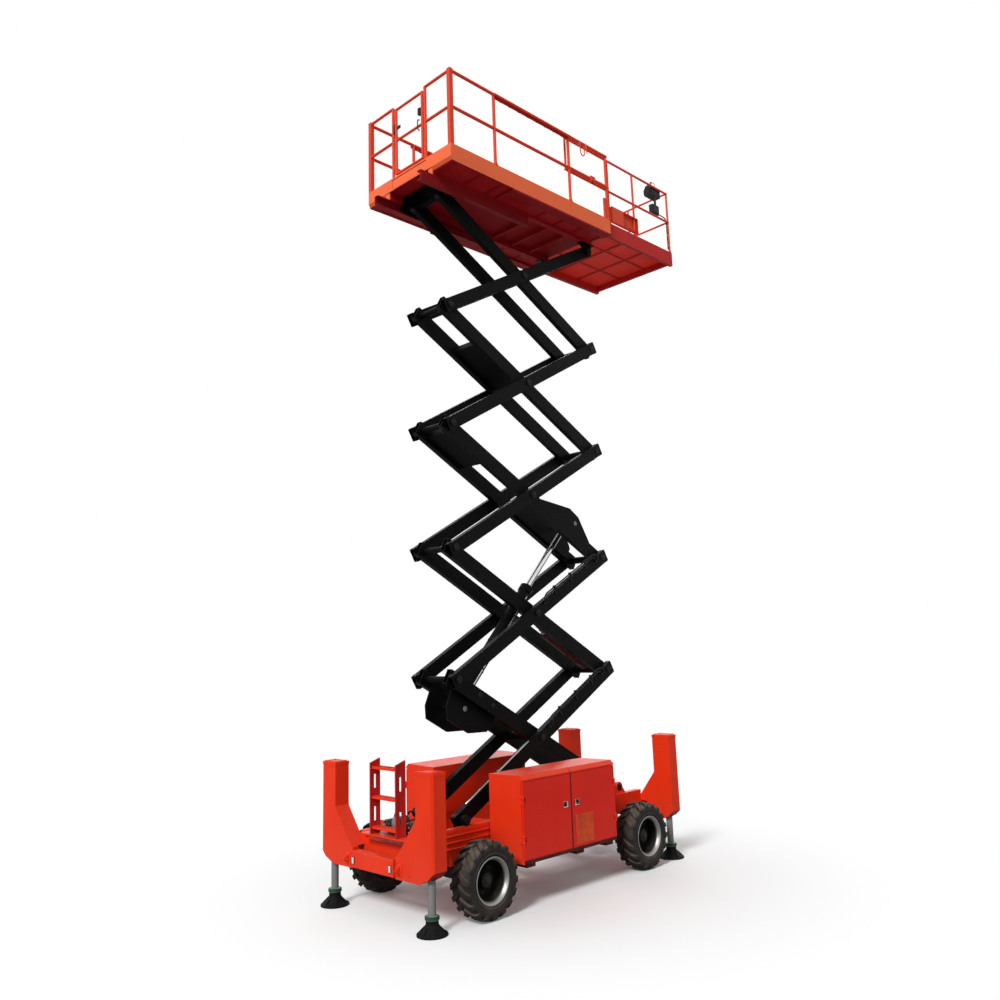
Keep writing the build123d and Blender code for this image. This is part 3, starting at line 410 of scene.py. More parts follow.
class Finishes:
    """Every finish of the machine, made once and handed out by name."""

    # The chassis's under colour is painted shade on its faces that look down.
    CHASSIS = Finish("chassis_enamel", "chassis_red", (0.84, 0.036, 0.007), roughness=0.34, specular=0.12,
                     under=(0.34, 0.01, 0.01), dust=0.14, dust_top=1.0, bump=0.012)
    DOOR = Finish("door_enamel", "chassis_red", (0.82, 0.023, 0.012), roughness=0.36, specular=0.1, dust=0.12,
                  dust_top=1.0, bump=0.012)
    SILL = Finish("sill_dark_red", "chassis_red", (0.06, 0.006, 0.008), roughness=0.6, specular=0.1, dust=0.15)
    # The under colour and the first band, dark crimson below the deck's top edge from X -2.16 on, are painted
    # shade under the deck; the second band keeps the outermost edge faces orange.
    PLATFORM = Finish("platform_enamel", "platform_orange", (1.0, 0.185, 0.072), roughness=0.5, specular=0.05,
                      under=(0.32, 0.008, 0.012), upward=0.03,
                      bands=(Band(0.0, 9.2628, (0.34, 0.009, 0.012), 0.5, -2.16),
                             Band(9.206, 9.264, (1.0, 0.185, 0.072), 0.5, reach=0.8935)))
    # Dark crimson on the platform's slide parts: painted shade under the deck, in the platform's paint slot.
    SLIDE = Finish("slide_enamel", "platform_orange", (0.26, 0.008, 0.011), roughness=0.5, specular=0.1)
    # The roll-out deck's under colour is painted shade on its faces that look down.
    ROLL_OUT = Finish("roll_out_enamel", "platform_orange", (0.56, 0.022, 0.018), roughness=0.45, specular=0.08,
                      under=(0.42, 0.014, 0.014), upward=0.03)
    # A brighter copy of the roll-out deck's red for its belly sheets: painted light on an underside that gets
    # little light.
    ROLL_OUT_BELLY = Finish("roll_out_belly_enamel", "platform_orange", (0.9, 0.04, 0.026), roughness=0.5,
                            specular=0.08, mottle=0.1, mottle_scale=3.0)
    # Dark crimson for the main deck's belly sheets: painted shade under the deck, not a paint of its own.
    BELLY = Finish("belly_enamel", "platform_orange", (0.42, 0.012, 0.015), roughness=0.5, specular=0.08,
                   mottle=0.1, mottle_scale=3.0)
    TREAD = Finish("tread_enamel", "platform_orange", (0.8, 0.1, 0.035), roughness=0.45, dust=0.12,
                   dust_top=12.0, mottle=0.12, chequer=14.0, bump=0.004)
    RAIL = Finish("rail_enamel", "platform_orange", (0.8, 0.072, 0.028), roughness=0.42, specular=0.12,
                  upward=0.0)
    LADDER = Finish("ladder_enamel", "chassis_red", (0.5, 0.016, 0.013), roughness=0.42, specular=0.12,
                    dust=0.05)
    MARKER = Finish("marker_yellow", "platform_orange", (0.8, 0.42, 0.02), roughness=0.45)
    PLATE = Finish("blank_plate_ochre", "chassis_red", (0.72, 0.076, 0.02), roughness=0.5, specular=0.15,
                   mottle=0.14, mottle_scale=14.0, scuff=0.5)
    PROP = Finish("prop_maroon", "chassis_red", (0.062, 0.006, 0.009), roughness=0.42)
    ARM = Finish("arm_black_enamel", "arm_black", (0.0028, 0.0028, 0.0032), roughness=0.42, specular=0.055,
                 upward=0.01, mottle=0.25, scuff=0.42)
    ARM_EDGE = Finish("arm_fitting_black", "arm_black", (0.006, 0.006, 0.0065), roughness=0.36, specular=0.14,
                      upward=0.01, mottle=0.2)
    AXLE = Finish("axle_black", "arm_black", (0.006, 0.006, 0.006), roughness=0.5, specular=0.1, dust=0.25,
                  dust_top=0.9)
    # The tyre's strong upward layer in a pale grey-brown paints highlights on the tops of the lugs, over a
    # little real dust.
    RUBBER = Finish("tyre_rubber", "tyre_rubber", (0.014, 0.012, 0.011), roughness=0.62, specular=0.22,
                    dust=0.12, dust_top=0.95, dust_colour=(0.19, 0.15, 0.12), grit_mix=0.8, mottle=0.3,
                    mottle_scale=7, upward=0.75)
    HOSE = Finish("hose_rubber", "tyre_rubber", (0.01, 0.01, 0.011), roughness=0.55, specular=0.15, dust=0.05,
                  bump=0.006)
    SEAL = Finish("seal_black", "pad_black", (0.008, 0.008, 0.009), roughness=0.5, specular=0.18, dust=0.05,
                  bump=0.006)
    PAD = Finish("pad_cast_black", "pad_black", (0.003, 0.003, 0.003), roughness=0.55, specular=0.1,
                 upward=0.02)
    RIM = Finish("rim_enamel", "rim_steel", (0.005, 0.005, 0.005), roughness=0.5, specular=0.08, dust=0.05,
                 dust_top=0.9)
    LIP = Finish("rim_lip_steel", "rim_steel", (0.36, 0.36, 0.35), roughness=0.42, metallic=1.0, dust=0.1,
                 dust_top=0.8, bump=0.004, stretch=(12, 12, 12))
    CAP = Finish("motor_cap_grey", "engine_grey", (0.2, 0.2, 0.205), dust=0.1, dust_top=1.4)
    PUMP = Finish("pump_grey", "engine_grey", (0.014, 0.014, 0.015), roughness=0.45, specular=0.2, dust=0.1,
                  dust_top=1.4)
    ENGINE = Finish("engine_grey", "engine_grey", (0.04, 0.04, 0.04), roughness=0.6, dust=0.2)
    STEEL = Finish("plain_steel", "bright_steel", (0.52, 0.52, 0.51), roughness=0.3, metallic=1.0, bump=0.004,
                   stretch=(8, 8, 120))
    ZINC = Finish("zinc_plate", "bright_steel", (0.45, 0.45, 0.43), roughness=0.38, metallic=1.0, bump=0.004)
    CHROME = Finish("rod_chrome", "bright_steel", (0.72, 0.73, 0.74), roughness=0.14, metallic=1.0, bump=0.001,
                    scuff=0.25, stretch=(20, 20, 20))
    LEG = Finish("leg_steel_and_pad", "bright_steel", (0.21, 0.215, 0.21), roughness=0.38, specular=0.18,
                 upward=0.0, stretch=(30, 30, 6),
                 bands=(Band(0.1605, 0.1935, (0.01, 0.08, 0.03), 0.5),
                        Band(-0.3, 0.1505, (0.003, 0.003, 0.003), 0.75)))
    CONTROL = Finish("control_plastic", "control_grey", (0.012, 0.012, 0.014), roughness=0.5, specular=0.2,
                     bump=0.01)
    LENS = Finish("lamp_lens_pale", "control_grey", (0.86, 0.84, 0.8), roughness=0.16, specular=0.5, bump=0.002,
                  mottle=0.02)

    def __init__(self) -> None:
        """Builds the shader groups; materials are made when first asked for."""
        self._groups = ShaderGroups()
        self._made: dict[str, bpy.types.Material] = {}

    def material(self, finish: Finish) -> bpy.types.Material:
        """Returns the finish's material, which is made the first time."""
        if finish.name not in self._made:
            self._made[finish.name] = finish.build(self._groups)
        return self._made[finish.name]

    def paint_node(self, node: str, finish: Finish) -> None:
        """Gives a carried-over node its finish.

        Args:
            node: The node's name.
            finish: The finish it gets.
        """
        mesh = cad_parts[node].data
        material = self.material(finish)
        if not mesh.materials:
            mesh.materials.append(material)
        for index in range(len(mesh.materials)):
            mesh.materials[index] = material
        log.info("node %s: %s", node, finish.name)


# ---- stage
@dataclass
class Studio:
    """Floor, lights, world and camera."""

    eye: tuple = (-9.34, -8.79, 3.004)
    yaw: float = math.radians(44.926)
    pitch: float = math.radians(11.167)
    roll: float = -0.0328
    lens: float = 32.243
    shift: tuple = (-0.0026, -0.0331)
    sensor: float = 36.0
    far_clip: float = 200.0
    suns: tuple = (("key_sun", 2.4, (52, 0, -72), 14), ("fill_sun", 0.6, (60, 0, 125), 40))
    sky: float = 0.4
    floor_radius: float = 60.0
    floor_seen: float = 0.95
    floor_bounce: float = 0.42
    fade: tuple = (1.6, 4.6)

    def build(self) -> None:
        """Makes everything round the machine."""
        self._camera()
        self._world()
        self._floor()
        for name, energy, turn, width in self.suns:
            self._sun(name, energy, turn, width)
        bpy.context.scene.view_settings.view_transform = "Standard"
        log.info("studio ready")

    def _camera(self) -> None:
        """Places the camera."""
        data = bpy.data.cameras.new("camera")
        data.lens = self.lens
        data.sensor_width = self.sensor
        data.shift_x, data.shift_y = self.shift
        data.clip_end = self.far_clip
        camera = put("camera", data)
        ahead = Vector((math.cos(self.pitch) * math.cos(self.yaw), math.cos(self.pitch) * math.sin(self.yaw),
                        math.sin(self.pitch)))
        right = ahead.cross(Vector((0, 0, 1))).normalized()
        above = right.cross(ahead)
        turned_right = math.cos(self.roll) * right + math.sin(self.roll) * above
        turned_above = -math.sin(self.roll) * right + math.cos(self.roll) * above
        pose = Matrix((turned_right, turned_above, -ahead)).transposed().to_4x4()
        pose.translation = Vector(self.eye)
        camera.matrix_world = pose
        bpy.context.scene.camera = camera

    def _world(self) -> None:
        """White backdrop to the camera and in reflections, softer light on the machine."""
        world = bpy.data.worlds.new("studio")
        new = Wiring.fresh(world)
        path = new.node("LightPath").outputs
        seen = new.math("MAXIMUM", new.math("MAXIMUM", path["Is Camera Ray"], path["Is Transmission Ray"]),
                        path["Is Glossy Ray"])
        light = new.node("Background", {"Color": (1, 1, 1, 1), "Strength": self.sky}).outputs[0]
        white = new.node("Background", {"Color": (1, 1, 1, 1), "Strength": 1.0}).outputs[0]
        mix = new.node("MixShader", {0: seen, 1: light, 2: white})
        new.node("OutputWorld", {"Surface": mix.outputs[0]})
        bpy.context.scene.world = world

    def _floor(self) -> None:
        """A pale floor that fades into the white backdrop and throws only a plain share of light back up."""
        bpy.ops.object.select_all(action="DESELECT")
        bpy.ops.mesh.primitive_circle_add(
            vertices=96, radius=self.floor_radius, fill_type="NGON", location=(0, 0, -0.001))
        floor = bpy.context.active_object
        floor.name = "studio_floor"
        material = bpy.data.materials.new("pale_floor")
        new = Wiring.fresh(material)
        camera_ray = new.node("LightPath").outputs["Is Camera Ray"]
        tone = new.over(camera_ray, (*[self.floor_bounce] * 3, 1), (*[self.floor_seen] * 3, 1))
        reach = new.vector("LENGTH", new.node("TexCoord").outputs["Object"]).outputs["Value"]
        fade = new.node("MapRange", {"Value": reach, "From Min": self.fade[0], "From Max": self.fade[1]},
                        interpolation_type="SMOOTHSTEP").outputs["Result"]
        plain = new.node("BsdfDiffuse", {"Color": tone}).outputs[0]
        white = new.node("Emission", {"Color": (1, 1, 1, 1)}).outputs[0]
        mix = new.node("MixShader", {0: new.math("MULTIPLY", fade, camera_ray), 1: plain, 2: white})
        new.node("OutputMaterial", {"Surface": mix.outputs[0]})
        floor.data.materials.append(material)

    @staticmethod
    def _sun(name: str, energy: float, turn: tuple, width: float) -> None:
        """Adds a soft sun.

        Args:
            name: The lamp's name.
            energy: Its strength.
            turn: Its rotation in degrees.
            width: How wide it is in degrees, which sets how soft its shadows are.
        """
        data = bpy.data.lights.new(name, "SUN")
        data.energy = energy
        data.angle = math.radians(width)
        put(name, data).rotation_euler = Euler([math.radians(angle) for angle in turn])


# ---- workbench
def put(name: str, data: bpy.types.ID) -> Piece:
    """Makes an object of a mesh, curve, lamp or camera and puts it in the scene."""
    made = bpy.data.objects.new(name, data)
    bpy.context.collection.objects.link(made)
    return made


class Bench:
    """Modelling steps, done as a maker does them by hand."""

    @staticmethod
    def clear() -> None:
        """Leaves edit mode and deselects everything."""
        if bpy.context.mode != "OBJECT":
            bpy.ops.object.mode_set(mode="OBJECT")
        bpy.ops.object.select_all(action="DESELECT")

    @classmethod
    def only(cls, *pieces: Piece) -> None:
        """Selects these pieces alone and makes the last one active."""
        cls.clear()
        for piece in pieces:
            piece.select_set(True)
        bpy.context.view_layer.objects.active = pieces[-1]

    @classmethod
    def settle(cls, piece: Piece) -> Piece:
        """Puts a piece's place, turn and size into its mesh and returns the piece."""
        cls.only(piece)
        bpy.ops.object.transform_apply(location=True, rotation=True, scale=True)
        return piece

    @classmethod
    def block(cls, low: Sequence[float], high: Sequence[float], bevel: float = 0.0, segments: int = 2) -> Piece:
        """Starts from a cube between two corners and eases its edges.

        Args:
            low: One corner.
            high: The opposite corner.
            bevel: Width of the eased edges, or 0 for none.
            segments: Steps in the eased edges.

        Returns:
            The piece.
        """
        cls.clear()
        middle = [(a + b) / 2 for a, b in zip(low, high)]
        bpy.ops.mesh.primitive_cube_add(size=1, location=middle)
        piece = bpy.context.active_object
        piece.scale = [abs(b - a) for a, b in zip(low, high)]
        cls.settle(piece)
        return cls.ease(piece, bevel, segments) if bevel else piece

    @classmethod
    def rod(cls, start: Sequence[float], end: Sequence[float], radius: float, sides: int = 20,
            bevel: float = 0.0) -> Piece:
        """Starts from a cylinder between two points.

        Args:
            start: Centre of one end.
            end: Centre of the other end.
            radius: Its radius.
            sides: Facets round it.
            bevel: Width of the eased rims, or 0 for none.

        Returns:
            The piece.
        """
        cls.clear()
        first, last = Vector(start), Vector(end)
        along = last - first
        bpy.ops.mesh.primitive_cylinder_add(
            vertices=sides, radius=radius, depth=along.length, location=(first + last) / 2,
            rotation=along.to_track_quat("Z", "Y").to_euler())
        piece = cls.settle(bpy.context.active_object)
        return cls.ease(piece, bevel, 2) if bevel else piece

    @classmethod
    def turned(cls, profile: Sequence[tuple[float, float]], middle: Sequence[float], axis: Sequence[float],
               steps: int = 40, closed: bool = False) -> Piece:
        """Spins a profile round an axis.

        Args:
            profile: Rows of (radius, distance along the axis). An open one starts and ends on the axis.
            middle: Where the axis starts.
            axis: The way it points.
            steps: Facets round it.
            closed: Whether the profile is a ring that stays off the axis.

        Returns:
            The closed piece.
        """
        out = Vector(axis).normalized()
        side = out.orthogonal().normalized()
        points = [Vector(middle) + side * radius + out * along for radius, along in profile]
        edges = [(index, index + 1) for index in range(len(points) - 1)]
        if closed:
            edges.append((len(points) - 1, 0))
        mesh = bpy.data.meshes.new("turned_profile")
        mesh.from_pydata(points, edges, [])
        piece = put("turned_profile", mesh)
        return cls.outwards(piece,
                            lambda: bpy.ops.mesh.spin(
                                steps=steps, angle=math.tau, center=tuple(middle), axis=tuple(out)))

    @classmethod
    def outwards(cls, piece: Piece, *steps: Callable[[], object]) -> Piece:
        """Runs steps on all of a piece, welds it, turns its faces outwards and returns it.

        Args:
            piece: The piece.
            steps: Calls of edit-mode operators, in order.

        Returns:
            The piece.
        """
        cls.only(piece)
        bpy.ops.object.mode_set(mode="EDIT")
        bpy.ops.mesh.select_all(action="SELECT")
        for step in steps:
            step()
        bpy.ops.mesh.select_all(action="SELECT")
        bpy.ops.mesh.remove_doubles(threshold=WELD)
        bpy.ops.mesh.normals_make_consistent(inside=False)
        bpy.ops.object.mode_set(mode="OBJECT")
        return piece

    @classmethod
    def ease(cls, piece: Piece, width: float, segments: int = 2) -> Piece:
        """Bevels the sharp edges of a piece with an applied modifier and returns the piece."""
        cls.only(piece)
        edges = piece.modifiers.new("eased_edges", "BEVEL")
        edges.width = width
        edges.segments = segments
        edges.limit_method = "ANGLE"
        edges.angle_limit = BEVEL_ABOVE
        bpy.ops.object.modifier_apply(modifier=edges.name)
        return piece

    @classmethod
    def shape(cls, piece: Piece, pick: Pick | Sequence[float], *steps: Callable[[], object]) -> Piece:
        """Selects faces in edit mode and runs modelling steps on them.

        Args:
            piece: The piece to shape.
            pick: Says of a face whether it is selected, or is the way that the selected faces look.
            steps: Calls of edit-mode operators, in order.

        Returns:
            The piece.
        """
        cls.only(piece)
        bpy.ops.object.mode_set(mode="EDIT")
        bpy.ops.mesh.select_mode(type="FACE")
        bpy.ops.mesh.select_all(action="DESELECT")
        mesh = bmesh.from_edit_mesh(piece.data)
        chosen = pick if callable(pick) else cls.facing(pick)
        for face in mesh.faces:
            face.select = chosen(face)
        mesh.select_flush_mode()
        bmesh.update_edit_mesh(piece.data)
        for step in steps:
            step()
        bpy.ops.object.mode_set(mode="OBJECT")
        return piece

    @staticmethod
    def facing(way: Sequence[float], beyond: float | None = None) -> Pick:
        """Returns a pick of the faces that look one way, and lie beyond a distance if one is given."""
        out = Vector(way).normalized()
        return lambda face: face.normal.dot(out) > 0.9 and (
            beyond is None or face.calc_center_median().dot(out) > beyond)

    @staticmethod
    def inset(width: float, depth: float = 0.0) -> Callable[[], object]:
        """Returns a step that insets the selected faces and sinks them by a depth."""
        return lambda: bpy.ops.mesh.inset(thickness=width, depth=-depth)

    @staticmethod
    def pull(offset: Sequence[float]) -> Callable[[], object]:
        """Returns a step that extrudes the selected faces by an offset."""
        return lambda: bpy.ops.mesh.extrude_region_move(TRANSFORM_OT_translate={"value": tuple(offset)})

    @staticmethod
    def resize(size: Sequence[float]) -> Callable[[], object]:
        """Returns a step that resizes the selected faces about their own middle."""
        return lambda: bpy.ops.transform.resize(value=tuple(size))

    @staticmethod
    def nudge(piece: Piece, rule: Callable[[Vector], Sequence[float]]) -> Piece:
        """Moves each vertex of a piece to where a rule says, and returns the piece."""
        for vertex in piece.data.vertices:
            vertex.co = rule(vertex.co.copy())
        piece.data.update()
        return piece

    @staticmethod
    def clone(piece: Piece, place: Matrix) -> Piece:
        """Copies a piece, with a mesh of its own that is moved by a matrix.

        Args:
            piece: The piece to copy.
            place: Where the copy goes, relative to the piece. A mirror keeps its faces outwards.

        Returns:
            The copy.
        """
        copy = put(piece.name + "_copy", piece.data.copy())
        copy.data.transform(place)
        if place.determinant() < 0:
            copy.data.flip_normals()
        return copy

    @classmethod
    def spread(cls, piece: Piece, places: Iterable[Matrix]) -> Piece:
        """Sets copies of a model at each place, joins them, and puts the model away.

        Args:
            piece: The model.
            places: Where each copy goes.

        Returns:
            The joined copies.
        """
        copies = [cls.clone(piece, place) for place in places]
        cls.discard(piece)
        return cls.join(copies)

    @classmethod
    def cut(cls, piece: Piece, *cutters: Piece) -> Piece:
        """Cuts other pieces out of one, puts them away and returns it."""
        for cutter in cutters:
            cls.only(piece)
            hole = piece.modifiers.new("hole", "BOOLEAN")
            hole.operation = "DIFFERENCE"
            hole.object = cutter
            bpy.ops.object.modifier_apply(modifier=hole.name)
            cls.discard(cutter)
        return piece

    @staticmethod
    def discard(*pieces: Piece) -> None:
        """Removes models that were only there to be copied."""
        for piece in pieces:
            bpy.data.objects.remove(piece, do_unlink=True)

    @classmethod
    def join(cls, pieces: Sequence[Piece]) -> Piece:
        """Joins pieces into the last one and returns it."""
        cls.only(*pieces)
        if len(pieces) > 1:
            bpy.ops.object.join()
        return bpy.context.view_layer.objects.active

    @classmethod
    def line(cls, points: Sequence[Sequence[float]], radius: float, sides: int = 2) -> Piece:
        """Sweeps a round line along a smooth path.

        Args:
            points: Control points of the path.
            radius: The line's radius.
            sides: Bevel resolution of the round section.

        Returns:
            The line as a mesh with closed ends.
        """
        cls.clear()
        data = bpy.data.curves.new("line_path", "CURVE")
        data.dimensions = "3D"
        data.resolution_u = 6
        data.bevel_depth = radius
        data.bevel_resolution = sides
        data.use_fill_caps = True
        spline = data.splines.new("NURBS")
        spline.points.add(len(points) - 1)
        for point, place in zip(spline.points, points):
            point.co = (*place, 1.0)
        spline.use_endpoint_u = True
        spline.order_u = 3
        cls.only(put("line_path", data))
        bpy.ops.object.convert(target="MESH")
        return bpy.context.view_layer.objects.active

    @classmethod
    def bolt(cls, middle: Sequence[float], axis: Sequence[float], radius: float = 0.011,
             height: float = 0.008) -> Piece:
        """Makes a hexagon head on a washer, standing out along an axis.

        Args:
            middle: Where the washer sits.
            axis: The way the head points.
            radius: Radius of the head.
            height: Height of the head.

        Returns:
            The piece.
        """
        seat, out = Vector(middle), Vector(axis).normalized()
        washer = cls.rod(seat, seat + out * 0.002, radius * 1.5, 16)
        head = cls.rod(seat + out * 0.0015, seat + out * (0.002 + height), radius, 6)
        cls.shape(head, out, cls.inset(radius * 0.18, -0.0012))
        return cls.join((washer, head))

    @classmethod
    def bolts(cls, places: Iterable[Sequence[float]], axis: Sequence[float], radius: float = 0.011,
              height: float = 0.008) -> Piece:
        """Models one bolt head and sets a copy at each place, as one piece."""
        return cls.spread(cls.bolt(ORIGIN, axis, radius, height),
                          [Matrix.Translation(place) for place in places])


@dataclass
class Dresser:
    """Gives finished pieces their material and the body they move with."""

    finishes: Finishes
    count: int = 0

    def hand_over(self, piece: Piece, name: str, finish: Finish, body: str, *stands_for: str) -> None:
        """Dresses one piece.

        Args:
            piece: The finished piece.
            name: Its name.
            finish: Its finish.
            body: The body that it rides on.
            stands_for: The nodes that it replaces.
        """
        piece.name = name
        piece.data.materials.clear()
        piece.data.materials.append(self.finishes.material(finish))
        Bench.only(piece)
        bpy.ops.object.shade_smooth_by_angle(angle=SMOOTH_BELOW)
        if stands_for:
            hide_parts(*stands_for)
        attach(piece, body)
        self.count += 1
        log.info("piece %s rides on %s", name, body)


@dataclass
class SubAssembly:
    """A group of added pieces, each handed to the dresser when it is finished."""

    home: ClassVar[str] = "chassis"
    dresser: Dresser

    def give(self, made: Piece | Sequence[Piece], name: str, finish: Finish, body: str = "", *stands_for: str,
             place: Matrix | None = None) -> None:
        """Joins pieces where there are several, lays them along a line if one is given, and hands them over.

        Args:
            made: The piece, or the pieces to join.
            name: Its name.
            finish: Its finish.
            body: The body that it rides on, if not the sub-assembly's own.
            stands_for: The nodes that it replaces.
            place: The line of an arm or of the cylinder, for a piece modelled in that line's own places.
        """
        model = Bench.join(made) if isinstance(made, (list, tuple)) else made
        piece = model
        if place is not None:
            piece = Bench.clone(model, place)
            Bench.discard(model)
        self.dresser.hand_over(piece, name, finish, body or self.home, *stands_for)


# ---- shared places
@dataclass(frozen=True)
class Layout:
    """Places that several sub-assemblies share."""

    middle_x: float = -0.523
    end_face: float = 2.287
    pivot_x: float = 1.132
    pivot_z: float = 0.966
    pitch: float = 1.625
    arm: float = 3.35
    levels: int = 5

    @property
    def angle(self) -> float:
        """Slope of every arm."""
        return math.asin(self.pitch / self.arm)

    @property
    def rear_x(self) -> float:
        """Where the sliding pins stand."""
        return self.pivot_x - self.arm * math.cos(self.angle)

    @property
    def cross_x(self) -> float:
        """Where the arms of a level cross."""
        return (self.pivot_x + self.rear_x) / 2

    def low(self, level: float) -> float:
        """Height of the lower pins of a level."""
        return self.pivot_z + (level - 1) * self.pitch

    def along_arm(self, pair: Pair, level: int) -> Matrix:
        """Turns an arm's own line into the machine's frame.

        Args:
            pair: Which of the level's two pairs.
            level: The level, from 1.

        Returns:
            A matrix for points given as distance from the lower pin, Y, and distance above the middle line.
        """
        run, rise = math.cos(self.angle), math.sin(self.angle)
        way = 1 if pair is Pair.OUTER else -1
        start = self.rear_x if pair is Pair.OUTER else self.pivot_x
        return Matrix(((way * run, 0, -way * rise, start), (0, 1, 0, 0), (rise, 0, run, self.low(level)),
                       (0, 0, 0, 1)))


LAYOUT = Layout()


def ring_of(count: int, axis: str, first: float = 0.0) -> list[Matrix]:
    """Returns turns spread evenly about X, Y or Z, from a first one."""
    return [Matrix.Rotation(first + math.tau * index / count, 4, axis) for index in range(count)]


def corners() -> Iterable[tuple[End, Side, str]]:
    """Goes round the four corners of the machine, each with its name."""
    return ((end, side, f"{end.word}_{side.word}") for end in End for side in Side)


def mirrored(way: int = -1) -> Matrix:
    """Turns a model to the other side of the middle plane, or leaves it where it is for +1."""
    return Matrix.Diagonal((1, way, 1, 1))


# ---- wheels
@dataclass
class Wheels(SubAssembly):
    """Lugged tyres, rim lips, hub caps and wheel nuts.

    One wheel is modelled round the origin with its outer side towards +Y, then copied to the four places.
    """

    axle: float = 1.457
    track: float = 0.95
    height: float = 0.42
    wall: tuple = ((0.256, 0.127), (0.266, 0.139), (0.28, 0.1435), (0.286, 0.1475), (0.294, 0.143),
                   (0.325, 0.1475), (0.35, 0.148), (0.37, 0.14), (0.38, 0.122), (0.384, 0.09), (0.386, 0.045))
    lug_path: tuple = ((0.008, 0.4195, 0.376), (0.052, 0.4195, 0.376), (0.095, 0.418, 0.374),
                       (0.127, 0.411, 0.364), (0.145, 0.39, 0.348), (0.1494, 0.35, 0.334))
    lugs: int = 18
    lug_arc: float = 0.175
    lug_taper: tuple = (0.86, 1.12)
    lug_undercut: float = 0.012
    shoulder: float = 0.149
    skew: float = 0.26
    nut_circle: float = 0.148
    disc: float = -0.045

    def build(self) -> None:
        """Models one wheel and sets it at every hub."""
        models = (self._tyre(), self._lips(), self._cap(), self._nuts())
        names = ("tyre_with_lugs", "rim_lips", "hub_cap", "wheel_nuts")
        finishes = (Finishes.RUBBER, Finishes.LIP, Finishes.PUMP, Finishes.PUMP)
        for end, side, corner in corners():
            hub = (LAYOUT.middle_x + end * self.axle, side * self.track, self.height)
            place = Matrix.Translation(hub) @ mirrored(side)
            replaced = ((f"tyre_{corner}",), (), (), ())
            for model, name, finish, nodes in zip(models, names, finishes, replaced):
                self.give(Bench.clone(model, place), f"{name}_{corner}", finish, f"wheel_{corner}", *nodes)
        Bench.discard(*models)

    def _tyre(self) -> Piece:
        """Returns the carcass with its two staggered rows of lugs."""
        inward = tuple((radius, -along) for radius, along in reversed(self.wall))
        carcass = Bench.turned(self.wall + inward, ORIGIN, (0, 1, 0), 84, closed=True)
        lug = self._lug()
        other = Bench.clone(lug, Matrix.Rotation(math.pi / self.lugs, 4, "Y") @ mirrored())
        pair = Bench.join((other, lug))
        rows = Bench.spread(pair, ring_of(self.lugs, "Y"))
        return Bench.join((rows, carcass))

    def _lug(self) -> Piece:
        """Returns one bar of the tread, which runs out slantwise and wraps over the shoulder."""
        lug = Bench.block((0, -0.5, 0), (1, 0.5, 1))
        for reach in range(1, len(self.lug_path) - 1):
            Bench.shape(lug, Bench.facing((1, 0, 0), reach - 0.1), Bench.pull((1, 0, 0)))

        def bend(point: Vector) -> tuple[float, float, float]:
            """Wraps a point of the straight bar round the tyre."""
            across, crown, root = self.lug_path[round(point.x)]
            narrow, broad = self.lug_taper
            undercut = min(self.lug_undercut, across)
            radius, taper, inset = (crown, narrow, 0.0) if point.z > 0.5 else (root, broad, undercut)
            turn = point.y * self.lug_arc * taper + self.skew * across / self.shoulder
            return radius * math.cos(turn), across - inset, radius * math.sin(turn)

        return Bench.ease(Bench.nudge(lug, bend), 0.003, 1)

    def _lips(self) -> Piece:
        """Returns the broad rolled lip of the rim."""
        return Bench.turned(((0.2548, 0.134), (0.2548, 0.1392), (0.251, 0.1418), (0.244, 0.1414),
                             (0.2385, 0.137), (0.2175, 0.107), (0.2155, 0.099), (0.2155, 0.085),
                             (0.2185, 0.085), (0.2225, 0.104), (0.242, 0.1345)), ORIGIN, (0, 1, 0), 72,
                            closed=True)

    def _cap(self) -> Piece:
        """Returns the hub's cap."""
        return Bench.turned(((0, 0.066), (0.022, 0.066), (0.034, 0.062), (0.046, 0.052), (0.052, 0.044),
                             (0.066, 0.043), (0.069, 0.0405), (0.069, 0.0385), (0, 0.0385)), ORIGIN, (0, 1, 0),
                            40)

    def _nuts(self) -> Piece:
        """Returns the ring of wheel nuts on the disc."""
        nut = Bench.bolt((self.nut_circle, self.disc, 0), (0, 1, 0), 0.014, 0.016)
        return Bench.spread(nut, ring_of(8, "Y"))


